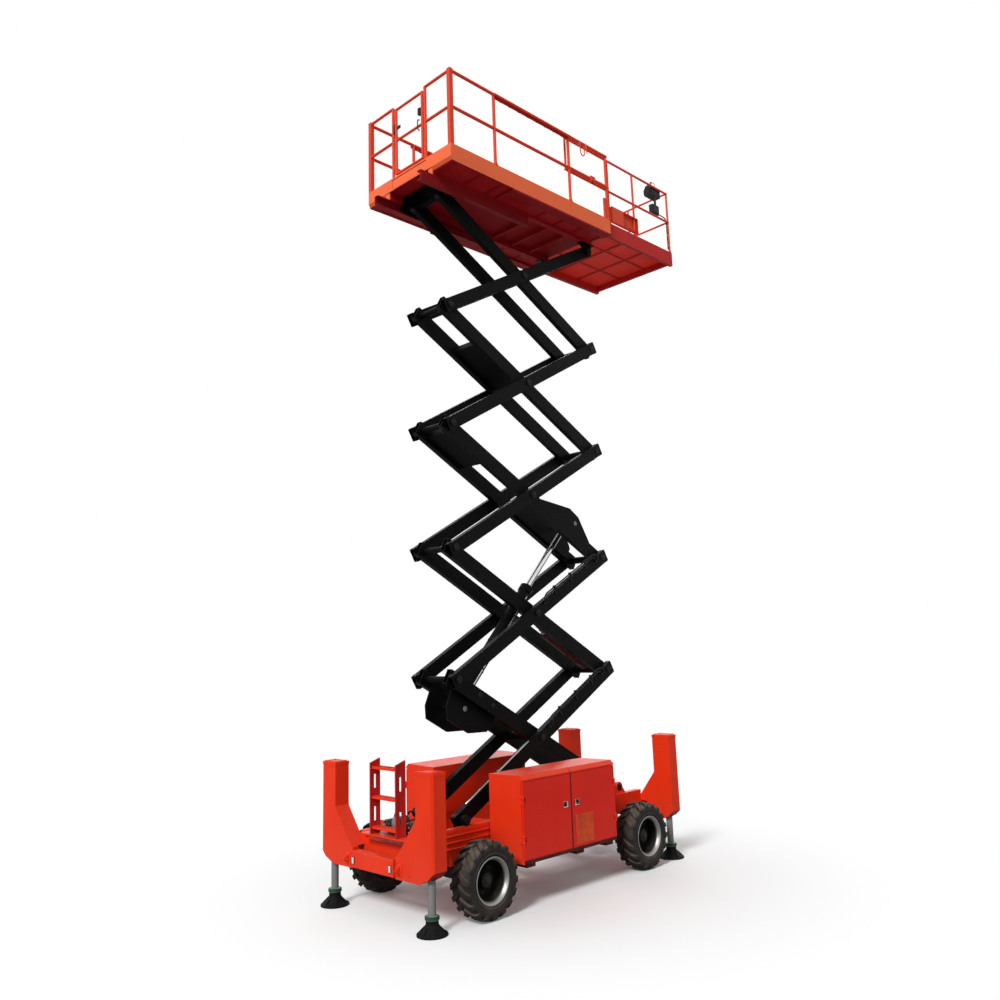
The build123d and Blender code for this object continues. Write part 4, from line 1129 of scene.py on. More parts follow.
# ---- outriggers
@dataclass
class Outriggers(SubAssembly):
    """Webs on the foot pads, leg wipers, and the lids of the posts."""

    leg_x: float = 2.189
    leg_y: float = 0.9
    post_x: tuple = (2.091, 2.287)
    post_y: tuple = (0.758, 1.043)
    post_top: float = 1.655

    def build(self) -> None:
        """Models one web ring, one wiper and one lid, and sets them at each corner."""
        webs, wiper = self._webs(), self._wiper()
        for end, side, corner in corners():
            place = Matrix.Translation((LAYOUT.middle_x + end * self.leg_x, side * self.leg_y, 0))
            self.give(Bench.clone(webs, place), f"pad_webs_{corner}", Finishes.PAD, f"leg_{corner}")
            self.give(Bench.clone(wiper, place), f"leg_wiper_{corner}", Finishes.SEAL)
            self.give(self._lid(end, side), f"post_lid_{corner}", Finishes.CHASSIS)
        Bench.discard(webs, wiper)

    def _webs(self) -> Piece:
        """Returns six thin webs that stand on the domed pad."""
        web = Bench.block((0.072, -0.003, 0.03), (0.15, 0.003, 0.108))
        Bench.nudge(web, lambda p: (p.x, p.y, p.z if p.x < 0.1 else 0.036 if p.z > 0.1 else 0.012))
        return Bench.spread(Bench.ease(web, 0.0015, 1), ring_of(6, "Z", 0.2))

    def _wiper(self) -> Piece:
        """Returns the ring that seals the leg where it enters the post."""
        return Bench.turned(((0.0445, 0.5515), (0.058, 0.5515), (0.064, 0.5535), (0.064, 0.558),
                             (0.0445, 0.558)), ORIGIN, (0, 0, 1), 36, closed=True)

    def _lid(self, end: End, side: Side) -> Piece:
        """Returns one post's lid with its four screws.

        Args:
            end: The post's end of the machine.
            side: The post's side of the machine.
        """
        xs = [LAYOUT.middle_x + end * value for value in (self.post_x[0] + 0.014, self.post_x[1] - 0.014)]
        ys = [side * value for value in (self.post_y[0] + 0.014, self.post_y[1] - 0.03)]
        lid = Bench.block((min(xs), min(ys), self.post_top - 0.001), (max(xs), max(ys), self.post_top + 0.006),
                          0.002)
        Bench.shape(lid, (0, 0, 1), Bench.inset(0.018, 0.0025))
        heads = Bench.bolts([(x, y, self.post_top + 0.0055) for x in (min(xs) + 0.011, max(xs) - 0.011)
                             for y in (min(ys) + 0.011, max(ys) - 0.011)], (0, 0, 1), 0.006, 0.004)
        return Bench.join((heads, lid))


# ---- chassis ends
@dataclass
class ChassisEnds(SubAssembly):
    """Lamps and bolts on the bumpers, the ladder with its treads, and the pump set behind it."""

    lamp_y: float = 0.345
    lamp_z: tuple = (0.56, 0.64)
    bumper_out: float = 0.03
    ladder_x: tuple = (-2.758, -2.648)
    ladder_y: tuple = (-0.35, 0.095)
    steps: tuple = (0.988, 1.318, 1.648)
    pump_face: float = -2.583
    pumps: tuple = ((-0.13, 1.01, 0.07), (0.04, 0.985, 0.055), (-0.33, 0.985, 0.055))

    def build(self) -> None:
        """Builds every piece."""
        for end in End:
            self._lamps(end)
            self._bumper_bolts(end)
            self._weld_pads(end)
        self._ladder()
        self._treads()
        self._pump_set()

    def _lamps(self, end: End) -> None:
        """Adds the two upright lamps of one bumper."""
        face = LAYOUT.middle_x + end * (LAYOUT.end_face + self.bumper_out)
        out = (end, 0, 0)
        for side in Side:
            y = side * self.lamp_y
            base = Bench.block(
                (face - end * 0.001, y - 0.021, self.lamp_z[0]), (face + end * 0.01, y + 0.021, self.lamp_z[1]),
                0.003)
            Bench.shape(base, out, Bench.inset(0.005, 0.003))
            self.give(base, f"lamp_body_{end.word}_{side.word}", Finishes.SEAL)
            lens = Bench.block(
                (face + end * 0.006, y - 0.0155, self.lamp_z[0] + 0.0055),
                (face + end * 0.0135, y + 0.0155, self.lamp_z[1] - 0.0055), 0.003, 3)
            self.give(lens, f"lamp_lens_{end.word}_{side.word}", Finishes.LENS)

    def _bumper_bolts(self, end: End) -> None:
        """Adds the bolts that hold one bumper and the plate beside it."""
        face = LAYOUT.middle_x + end * LAYOUT.end_face
        rows = [(face, side * y, z) for side in Side for y, z in ((0.425, 0.54), (0.425, 0.675), (0.64, 0.56))]
        self.give(Bench.bolts(rows, (end, 0, 0), 0.01, 0.007), f"bumper_bolts_{end.word}", Finishes.CHASSIS)

    def _weld_pads(self, end: End) -> None:
        """Adds the backing pads that the tie-down lugs are welded to."""
        face = LAYOUT.middle_x + end * LAYOUT.end_face
        pads = [Bench.block((face - end * 0.001, side * 0.48 - 0.038, 0.533),
                            (face + end * 0.007, side * 0.48 + 0.038, 0.667), 0.003) for side in Side]
        self.give(pads, f"tie_down_pads_{end.word}", Finishes.CHASSIS)

    def _ladder(self) -> None:
        """Adds the ladder: two slotted side rails, three steps and the shelf that it stands on."""
        rear, front, foot, peak = -2.773, -2.633, 0.905, 1.735
        rails = []
        for y in (-0.365, 0.11):
            rail = Bench.block((rear, y - 0.012, foot), (front, y + 0.012, peak))
            Bench.nudge(rail, lambda p: (p.x, p.y, p.z - 0.045 if p.z > 1.7 and p.x < -2.7 else p.z))
            Bench.shape(rail, lambda face: abs(face.normal.y) > 0.9, Bench.inset(0.014, 0.005))
            slots = [Bench.block((-2.718, y - 0.06, z - 0.08), (-2.688, y + 0.06, z + 0.08), 0.0145, 5)
                     for z in (1.48, 1.12)]
            rails.append(Bench.ease(Bench.cut(rail, *slots), 0.002, 1))
        self.give(rails, "ladder_rails", Finishes.LADDER, "chassis", "entry_ladder")
        steps = [Bench.block((self.ladder_x[0], -0.355, z - 0.028), (self.ladder_x[1], 0.1, z), 0.004)
                 for z in self.steps]
        shelf = Bench.block((-2.783, -0.54, 0.889), (-2.423, 0.285, 0.905), 0.002, 1)
        self.give([shelf, *steps], "ladder_steps_and_shelf", Finishes.CHASSIS, "chassis", "entry_ladder")

    def _treads(self) -> None:
        """Adds a row of raised ribs to each ladder step."""
        rib = Bench.block((self.ladder_x[0], -0.003, 0), (self.ladder_x[1], 0.003, 0.0035), 0.0012, 1)
        count = 17
        reach = self.ladder_y[1] - self.ladder_y[0]
        places = [Matrix.Translation((0, self.ladder_y[0] + reach * index / (count - 1), z)) for z in self.steps
                  for index in range(count)]
        self.give(Bench.spread(rib, places), "ladder_treads", Finishes.CHASSIS)

    def _pump_set(self) -> None:
        """Adds end caps, fittings and short rigid lines to the pump set."""
        finishes = (Finishes.CAP, Finishes.SEAL, Finishes.SEAL)
        for (y, z, radius), finish, name in zip(self.pumps, finishes, ("motor", "pump", "filter")):
            cap = Bench.turned(
                ((0, 0.04), (radius * 0.35, 0.038), (radius * 0.62, 0.03), (radius * 0.85, 0.016),
                 (radius * 0.93, 0.01), (radius * 1.06, 0.01), (radius * 1.06, 0), (0, 0)),
                (self.pump_face, y, z), (-1, 0, 0), 36)
            self.give(cap, f"{name}_end_cap", finish)
            heads = Bench.spread(
                Bench.bolt((0, 0, radius * 0.995), (-1, 0, 0), 0.005, 0.005),
                [Matrix.Translation((self.pump_face - 0.0095, y, z)) @ turn for turn in ring_of(6, "X", 0.3)])
            self.give(heads, f"{name}_cap_screws", Finishes.ZINC)
        bosses = [Bench.turned(
            ((0, 0.058), (0.01, 0.058), (0.013, 0.052), (0.013, 0.044), (0.02, 0.042), (0.02, 0.03), (0, 0.03)),
            (self.pump_face, y, z), (-1, 0, 0), 24) for y, z, _ in self.pumps[1:]]
        self.give(bosses, "pump_bosses", Finishes.STEEL)
        back = -2.47
        lines = [Bench.line(((back, -0.13, 1.075), (back, -0.13, 1.115), (back + 0.01, -0.05, 1.13),
                             (back + 0.01, 0.03, 1.11), (back, 0.04, 1.06), (back, 0.04, 1.035)), 0.011),
                 Bench.line(((back + 0.05, -0.15, 1.075), (back + 0.05, -0.15, 1.125),
                             (back + 0.05, -0.24, 1.135), (back + 0.05, -0.325, 1.11),
                             (back + 0.05, -0.33, 1.065), (back + 0.05, -0.33, 1.035)), 0.011),
                 Bench.line(((back + 0.02, 0.075, 0.99), (back + 0.02, 0.13, 0.99), (back + 0.06, 0.15, 0.96),
                             (back + 0.2, 0.15, 0.925), (back + 0.32, 0.15, 0.9)), 0.01)]
        self.give(lines, "pump_hoses", Finishes.HOSE)
        collars = [Bench.rod(a, b, 0.015, 6)
                   for a, b in (
                       ((back, -0.13, 1.07), (back, -0.13, 1.092)), ((back, 0.04, 1.034), (back, 0.04, 1.056)),
                       ((back + 0.05, -0.15, 1.07), (back + 0.05, -0.15, 1.092)),
                       ((back + 0.05, -0.33, 1.034), (back + 0.05, -0.33, 1.056)),
                       ((back + 0.02, 0.088, 0.99), (back + 0.02, 0.11, 0.99)))]
        self.give(Bench.ease(Bench.join(collars), 0.0015, 1), "pump_hose_fittings", Finishes.ZINC)


# ---- side boxes
@dataclass
class SideBoxes(SubAssembly):
    """Latches, seams, sills, skirts, hinge screws and the blank plate of the two side boxes."""

    ends: tuple = (-1.46, 0.251)
    seam: float = -0.608
    face: float = 1.084
    top: float = 1.471
    bottom: float = 0.49
    latch_out: float = 0.104
    latch_z: float = 1.055

    def build(self) -> None:
        """Builds the trim of both boxes."""
        for side in Side:
            self._seam(side)
            self._sill(side)
            self._handle_feet(side)
            self._foot_covers(side)
            self._rail_ridges(side)
            for end in End:
                self._latch(side, end)
                self._hinge_screws(side, end)
        self._plate()

    def _latch(self, side: Side, end: End) -> None:
        """Adds one door latch: a dished plate, the dark paddle in it and its lock.

        Args:
            side: The box's side.
            end: The door's end of the box.
        """
        x, y = self.seam + end * self.latch_out, side * self.face
        out = (0, side, 0)
        name, body = f"{side.word}_{end.word}", f"door_{side.word}_{end.word}"
        dish = Bench.block((x - 0.038, y - side * 0.001, self.latch_z - 0.034),
                           (x + 0.038, y + side * 0.006, self.latch_z + 0.034), 0.0025)
        Bench.shape(dish, out, Bench.inset(0.006, 0.0045))
        self.give(dish, f"latch_dish_{name}", Finishes.CHROME, body)
        middle = x + end * 0.009
        paddle = Bench.block((middle - 0.022, y - side * 0.001, self.latch_z - 0.027),
                             (middle + 0.022, y + side * 0.0085, self.latch_z + 0.027), 0.002)
        Bench.shape(paddle, out, Bench.inset(0.005), Bench.resize((0.8, 1, 0.8)))
        self.give(paddle, f"latch_paddle_{name}", Finishes.SEAL, body)
        lock = x - end * 0.024
        barrel = Bench.turned(((0, 0.0085), (0.0075, 0.0085), (0.0095, 0.007), (0.0095, 0), (0, 0)),
                              (lock, y, self.latch_z - 0.012), out, 20)
        Bench.shape(barrel, lambda f: f.normal.dot(Vector(out)) > 0.9 and f.calc_area() < 0.0002,
                    Bench.inset(0.001))
        self.give(barrel, f"latch_lock_{name}", Finishes.STEEL, body)

    def _hinge_screws(self, side: Side, end: End) -> None:
        """Adds two screws beside each hinge of one door and the rubber trim along its free edge."""
        x = (self.ends[0] + 0.03) if end is End.REAR else (self.ends[1] - 0.03)
        rows = [(x, side * self.face, z + step) for z in (0.764, 1.2) for step in (-0.014, 0.014)]
        self.give(Bench.bolts(rows, (0, side, 0), 0.006, 0.003), f"hinge_screws_{side.word}_{end.word}",
                  Finishes.SILL, f"door_{side.word}_{end.word}")
        near, far = sorted((self.seam + end * 0.0032, self.seam + end * 0.0105))
        trim = Bench.block((near, side * (self.face - 0.0012), 0.537),
                           (far, side * (self.face + 0.0018), 1.402), 0.001, 1)
        self.give(trim, f"door_edge_trim_{side.word}_{end.word}", Finishes.SEAL, f"door_{side.word}_{end.word}")

    def _seam(self, side: Side) -> None:
        """Adds the dark joint over the top edge of one box and the seal between its doors."""
        outline = ((self.face, self.top - 0.064), (self.face, self.top - 0.045), (self.face - 0.045, self.top))
        strip = Bench.block((self.seam - 0.003, 0, 0), (self.seam + 0.003, 1, 0.0012))
        Bench.shape(strip, (0, 1, 0), Bench.pull((0, 1, 0)))

        def lay(point: Vector) -> tuple[float, float, float]:
            """Lays a point of the flat strip on the box's outline."""
            y, z = outline[round(point.y)]
            lift = point.z * 0.8
            return point.x, side * (y + lift), z + lift

        self.give(Bench.outwards(Bench.nudge(strip, lay)), f"box_top_seam_{side.word}", Finishes.SEAL)
        seal = Bench.block((self.seam - 0.0032, side * 1.07, 0.538), (self.seam + 0.0032, side * 1.0832, 1.402),
                           0.001, 1)
        self.give(seal, f"door_seal_{side.word}", Finishes.SEAL)

    def _foot_covers(self, side: Side) -> None:
        """Adds near-black skirts round the three feet that carry one box; their dark colour paints the shade
        under the box.
        """
        covers = [Bench.block((LAYOUT.middle_x + low - 0.002, side * 0.6, 0.447),
                              (LAYOUT.middle_x + high + 0.002, side * 1.061, 0.4895), 0.002, 1)
                  for low, high in ((-0.877, -0.737), (0.0, 0.14), (0.574, 0.714))]
        self.give(covers, f"box_foot_skirts_{side.word}", Finishes.SILL)

    def _sill(self, side: Side) -> None:
        """Adds the dark folded sill under the doors of one box."""
        y = side * (self.face - 0.006)
        sill = Bench.block((self.ends[0] + 0.004, y, self.bottom + 0.001),
                           (self.ends[1] - 0.004, y + side * 0.004, self.bottom + 0.037), 0.0012)
        Bench.shape(sill, (0, side, 0), Bench.inset(0.006, 0.0015))
        self.give(sill, f"box_sill_{side.word}", Finishes.SILL)

    def _handle_feet(self, side: Side) -> None:
        """Adds the two bolted feet of one grab handle."""
        y = side * 0.892
        feet = []
        for z in (0.962, 1.117):
            feet.append(Bench.block(
                (self.ends[1] - 0.001, y - 0.026, z - 0.026), (self.ends[1] + 0.006, y + 0.026, z + 0.026),
                0.002))
            feet.append(Bench.bolts(
                [(self.ends[1] + 0.0055, y + step, z) for step in (-0.019, 0.019)], (1, 0, 0), 0.005, 0.004))
        self.give(feet, f"grab_handle_feet_{side.word}", Finishes.CHASSIS)

    def _rail_ridges(self, side: Side) -> None:
        """Adds the folded ridges along the outer face of one chassis rail, behind the box."""
        ridges = []
        for z in (0.69, 0.76, 0.83):
            ridge = Bench.block(
                (LAYOUT.middle_x - 2.085, side * 0.499, z - 0.014),
                (self.ends[0] - 0.004, side * 0.512, z + 0.014))
            Bench.shape(ridge, (0, side, 0), Bench.resize((1, 1, 0.45)))
            ridges.append(ridge)
        self.give(Bench.ease(Bench.join(ridges), 0.002, 1), f"rail_ridges_{side.word}", Finishes.CHASSIS)

    def _plate(self) -> None:
        """Adds the blank plate on the front right-hand door."""
        plate = Bench.block((-0.533, -self.face - 0.0015, 0.565), (-0.205, -self.face + 0.001, 0.905), 0.0007,
                            1)
        Bench.shape(plate, (0, -1, 0), Bench.inset(0.006), Bench.inset(0.003, 0.0006))
        self.give(plate, "blank_plate", Finishes.PLATE, "door_right_front")
        rivet = Bench.turned(((0, 0.0022), (0.003, 0.0018), (0.0045, 0.0006), (0.0045, 0), (0, 0)), ORIGIN,
                             (0, -1, 0), 12)
        places = [Matrix.Translation((x, -self.face - 0.0013, z)) for x in (-0.523, -0.215)
                  for z in (0.576, 0.894)]
        self.give(Bench.spread(rivet, places), "blank_plate_rivets", Finishes.ZINC, "door_right_front")


# ---- scissor arms
@dataclass
class ScissorArms(SubAssembly):
    """Pin caps and straps at the joints, lines along the arms, plugs, and the fittings of the stowed prop."""

    outer_face: float = 0.39
    pin_end: float = 0.398
    piped_levels: tuple = (1, 2)

    def build(self) -> None:
        """Builds every piece on the arms."""
        cap = self._cap()
        for level in range(1, LAYOUT.levels + 1):
            low, middle = LAYOUT.low(level), LAYOUT.low(level) + LAYOUT.pitch / 2
            high = low + LAYOUT.pitch
            inner = [(LAYOUT.cross_x, middle, self.pin_end)]
            outer = []
            if level < LAYOUT.levels:
                inner.append((LAYOUT.rear_x, high, self.pin_end))
                outer.append((LAYOUT.pivot_x, high, self.outer_face))
            else:
                outer.append((LAYOUT.pivot_x, high, 0.436))
            if level == 1:
                outer.append((LAYOUT.rear_x, low, 0.48))
            self._set_caps(cap, inner, f"inner_arm_pin_caps_{level}", f"inner_{level}")
            self._set_caps(cap, outer, f"outer_arm_pin_caps_{level}", f"outer_{level}")
            self._end_straps(level)
            self._nipples(level)
        self._set_caps(cap, [(LAYOUT.pivot_x, LAYOUT.pivot_z, 0.463)], "foot_pivot_caps", "chassis")
        Bench.discard(cap)
        for level in self.piped_levels:
            self._pipes(level)
        self._foot_conduit()
        self._bar_plugs()
        self._prop_fittings()

    def _cap(self) -> Piece:
        """Returns one pin cap that points along +Y from the origin, with three screws."""
        disc = Bench.turned(((0, 0.0105), (0.015, 0.0105), (0.019, 0.007), (0.043, 0.007), (0.047, 0.0045),
                             (0.047, -0.0005), (0, -0.0005)), ORIGIN, (0, 1, 0), 32)
        screws = Bench.spread(Bench.bolt((0.031, 0.0068, 0), (0, 1, 0), 0.0055, 0.004), ring_of(3, "Y", 0.5))
        return Bench.join((screws, disc))

    def _set_caps(self, cap: Piece, joints: Sequence[tuple], name: str, body: str) -> None:
        """Sets a cap at both sides of each joint, given as rows of X, Z and distance from the middle plane."""
        copies = [Bench.clone(cap, Matrix.Translation((x, side * y, z)) @ mirrored(side)) for side in Side
                  for x, z, y in joints]
        self.give(copies, name, Finishes.ARM_EDGE, body)

    def _end_straps(self, level: int) -> None:
        """Adds the folded straps that close in the four arm ends of one level."""
        for pair, half, y in ((Pair.OUTER, 0.0875, 0.35), (Pair.INNER, 0.095, 0.258)):
            straps = [Bench.block(
                (along - 0.026, y - 0.037, way * half - 0.0005),
                (along + 0.026, y + 0.037, way * (half + 0.005)), 0.002, 1)
                      for along in (-0.052, LAYOUT.arm + 0.052) for way in (1, -1)]
            both = Bench.spread(Bench.join(straps), (mirrored(1), mirrored()))
            self.give(both, f"{pair.value}_arm_end_straps_{level}", Finishes.ARM_EDGE, f"{pair.value}_{level}",
                      place=LAYOUT.along_arm(pair, level))

    def _nipples(self, level: int) -> None:
        """Adds a grease nipple above each middle pin of one level."""
        nipple = Bench.turned((
            (0, 0.015), (0.0025, 0.014), (0.0032, 0.011), (0.0022, 0.008), (0.0055, 0.006), (0.006, -0.0005),
            (0, -0.0005)), (1.675, 0.35, 0.0875), (0, 0, 1), 12)
        both = Bench.spread(nipple, (mirrored(1), mirrored()))
        self.give(both, f"grease_nipples_{level}", Finishes.ZINC, f"outer_{level}",
                  place=LAYOUT.along_arm(Pair.OUTER, level))

    def _pipes(self, level: int) -> None:
        """Adds the two lines that stand off the front half of one right-hand outer arm, with their clamps."""
        place = LAYOUT.along_arm(Pair.OUTER, level)
        lines = [Bench.line(((1.86 + inset, -0.388, 0.04), (1.86 + inset, -0.414, 0.044),
                             (1.9 + inset, -0.414, above), (2.05 + inset, -0.414, above), (2.5, -0.414, above),
                             (3.0 - inset, -0.414, above), (3.17 - inset, -0.414, above),
                             (3.21 - inset, -0.414, 0.044), (3.21 - inset, -0.388, 0.04)), 0.0105)
                 for above, inset in ((0.15, 0.0), (0.119, 0.05))]
        self.give(lines, f"arm_lines_{level}", Finishes.HOSE, f"outer_{level}", place=place)
        clamps = [Bench.block((along - 0.014, *low), (along + 0.014, *high), bevel, segments)
                  for along in (2.14, 2.53, 2.92)
                  for low, high, bevel, segments in (
                      ((-0.3965, 0.03), (-0.3915, 0.168), 0.0015, 1),
                      ((-0.392, 0.03), (-0.3895, 0.082), 0.001, 1),
                      ((-0.428, 0.104), (-0.396, 0.166), 0.004, 2))]
        self.give(clamps, f"arm_line_clamps_{level}", Finishes.ARM_EDGE, f"outer_{level}", place=place)
        nuts = [Bench.rod((along, -0.391, 0.042), (along, -0.409, 0.042), 0.016, 6)
                for along in (1.86, 1.91, 3.16, 3.21)]
        self.give(nuts, f"arm_line_fittings_{level}", Finishes.PUMP, f"outer_{level}", place=place)

    def _foot_conduit(self) -> None:
        """Adds a steel conduit along the lower half of the first right-hand arm; it stands in for the highlight
        along the arm's top edge, a painted highlight made as a part.
        """
        place = LAYOUT.along_arm(Pair.OUTER, 1)
        conduit = Bench.line(((0.17, -0.345, 0.084), (0.2, -0.36, 0.096), (0.28, -0.372, 0.098),
                              (0.8, -0.372, 0.098), (1.3, -0.372, 0.098), (1.42, -0.366, 0.097),
                              (1.45, -0.355, 0.084)), 0.0105, 3)
        self.give([conduit], "foot_arm_conduit", Finishes.STEEL, "outer_1", place=place)
        saddles = [Bench.block((along - 0.012, -0.389, 0.087), (along + 0.012, -0.355, 0.1105), 0.005)
                   for along in (0.42, 0.8, 1.18)]
        self.give(saddles, "foot_arm_conduit_saddles", Finishes.ZINC, "outer_1", place=place)

    def _bar_plugs(self) -> None:
        """Adds the plugs on the right-hand bar of the first inner arms."""
        plugs = [Bench.turned((
            (0.01, 0.005), (0.024, 0.005), (0.027, 0.003), (0.027, -0.0005), (0.01, -0.0005)),
                              (along, -0.298, above), (0, -1, 0), 28, closed=True)
                 for along, above in ((2.87, 0.03), (2.6, 0.012))]
        self.give(plugs, "bar_plugs", Finishes.PUMP, "inner_1", place=LAYOUT.along_arm(Pair.INNER, 1))

    def _prop_fittings(self) -> None:
        """Adds the bright collar, nut, end and pin of the stowed prop, and the bands round it."""
        axis = (1, 0, 0)
        collar = Bench.turned((
            (0.0325, 0), (0.052, 0.0), (0.056, 0.006), (0.056, 0.03), (0.05, 0.036), (0.0325, 0.036)),
                              (1.152, -0.095, 0), axis, 32, closed=True)
        nut = Bench.turned(((0.0325, 0), (0.046, 0), (0.046, 0.026), (0.0325, 0.03)), (1.215, -0.095, 0), axis,
                           6, closed=True)
        end = Bench.turned(((0, 0.024), (0.018, 0.022), (0.028, 0.012), (0.03, 0), (0, 0)), (1.329, -0.095, 0),
                           axis, 24)
        pin = Bench.rod((1.275, -0.095, -0.052), (1.275, -0.095, 0.056), 0.008, 14, 0.002)
        self.give([collar, nut, end, pin], "prop_fittings", Finishes.STEEL, "inner_2",
                  place=LAYOUT.along_arm(Pair.INNER, 2))
        bands = [Bench.turned(((0.0915, 0), (0.0965, 0.001), (0.0965, 0.023), (0.0915, 0.024)),
                              (along, -0.095, 0), axis, 44, closed=True)
                 for along in (0.215, 0.378, 0.988, 1.112)]
        self.give(bands, "prop_bands", Finishes.PROP, "inner_2", place=LAYOUT.along_arm(Pair.INNER, 2))


@dataclass
class LiftCylinder(SubAssembly):
    """Ports, hard lines, gland screws and keeper plates of the lift cylinder."""

    home: ClassVar[str] = "barrel"
    foot: tuple = (2.95, -0.2)
    eye: tuple = (0.58, 0.25)
    barrel: float = 2.1

    def build(self) -> None:
        """Builds the pieces along the cylinder's own axis."""
        place = self._place()
        self._gland(place)
        self._line(place)
        self._keepers()

    def _place(self) -> Matrix:
        """Returns the matrix from distance along the cylinder, Y, and distance above it."""
        foot = LAYOUT.along_arm(Pair.INNER, 1) @ Vector((self.foot[0], 0, self.foot[1]))
        eye = LAYOUT.along_arm(Pair.INNER, 3) @ Vector((self.eye[0], 0, self.eye[1]))
        ahead = (eye - foot).normalized()
        above = ahead.cross(Vector((0, 1, 0)))
        return Matrix(((ahead.x, 0, above.x, foot.x), (0, 1, 0, 0), (ahead.z, 0, above.z, foot.z),
                       (0, 0, 0, 1)))

    def _gland(self, place: Matrix) -> None:
        """Adds the gland's end ring, wiper and screws."""
        ring = Bench.turned(((0.047, 0), (0.092, 0), (0.092, 0.004), (0.086, 0.01), (0.062, 0.01),
                             (0.056, 0.018), (0.047, 0.018)), (self.barrel, 0, 0), (1, 0, 0), 44, closed=True)
        self.give(ring, "cylinder_gland_ring", Finishes.ARM_EDGE, place=place)
        screw = Bench.bolt((self.barrel + 0.0095, 0, 0.075), (1, 0, 0), 0.0065, 0.006)
        screws = Bench.spread(screw, ring_of(8, "X"))
        self.give(screws, "cylinder_gland_screws", Finishes.ZINC, place=place)

    def _line(self, place: Matrix) -> None:
        """Adds the hard line along the barrel, its ports and its bands."""
        y = -0.112
        ports = [Bench.block((along - 0.024, -0.12, -0.024), (along + 0.024, -0.07, 0.024), 0.004)
                 for along in (0.2, 1.94)]
        self.give(ports, "cylinder_ports", Finishes.ARM_EDGE, place=place)
        line = Bench.line(((0.215, y, 0), (0.26, y, 0), (0.32, y, 0.006), (1.05, y, 0.006), (1.82, y, 0.006),
                           (1.88, y, 0), (1.925, y, 0)), 0.0085)
        self.give(line, "cylinder_hard_line", Finishes.STEEL, place=place)
        bands = [Bench.turned(((0.0848, 0), (0.0885, 0.001), (0.0885, 0.021), (0.0848, 0.022)), (along, 0, 0),
                              (1, 0, 0), 40, closed=True) for along in (0.62, 1.08, 1.54)]
        grips = [Bench.block((along, -0.124, -0.01), (along + 0.022, -0.084, 0.022), 0.004)
                 for along in (0.62, 1.08, 1.54)]
        self.give(bands + grips, "cylinder_bands", Finishes.ARM_EDGE, place=place)

    def _keepers(self) -> None:
        """Adds the keeper plates that hold the cylinder's two cross pins in the lug plates."""
        for level, (along, above), body in ((1, self.foot, "inner_1"), (3, self.eye, "inner_3")):
            plates = [Bench.turned(
                ((0, 0.004), (0.03, 0.004), (0.034, 0.002), (0.034, -0.0005), (0, -0.0005)),
                (along, side * 0.212, above), (0, side, 0), 28) for side in Side]
            self.give(plates, f"cylinder_pin_keepers_{level}", Finishes.CAP, body,
                      place=LAYOUT.along_arm(Pair.INNER, level))


# ---- decks
class Deck(SubAssembly):
    """What both decks have: pressed sheets, chequered sheets, and flanged sockets.

    Each deck gives its own `rail_y`, `toe_top` and `posts`.
    """

    @staticmethod
    def pressed(low: Sequence[float], high: Sequence[float], border: float, slope: float) -> Piece:
        """Returns a sheet between two corners, with a field pressed into its underside."""
        return Bench.shape(Bench.block(low, high), (0, 0, -1), Bench.inset(border), Bench.inset(slope, 0.0028))

    @staticmethod
    def chequered(low: Sequence[float], high: Sequence[float]) -> Piece:
        """Returns a floor sheet between two corners, with a plain border."""
        sheet = Bench.shape(Bench.block(low, high), (0, 0, 1), Bench.inset(0.012))
        return Bench.ease(sheet, 0.0006, 1)

    def socketed(self, profile: Sequence[tuple[float, float]], facets: int) -> Piece:
        """Returns a flanged socket at the foot of every rail post."""
        places = [Matrix.Translation((x, side * self.rail_y, self.toe_top - 0.0005)) for side in Side
                  for x in self.posts]
        return Bench.spread(Bench.turned(profile, ORIGIN, (0, 0, 1), facets, closed=True), places)


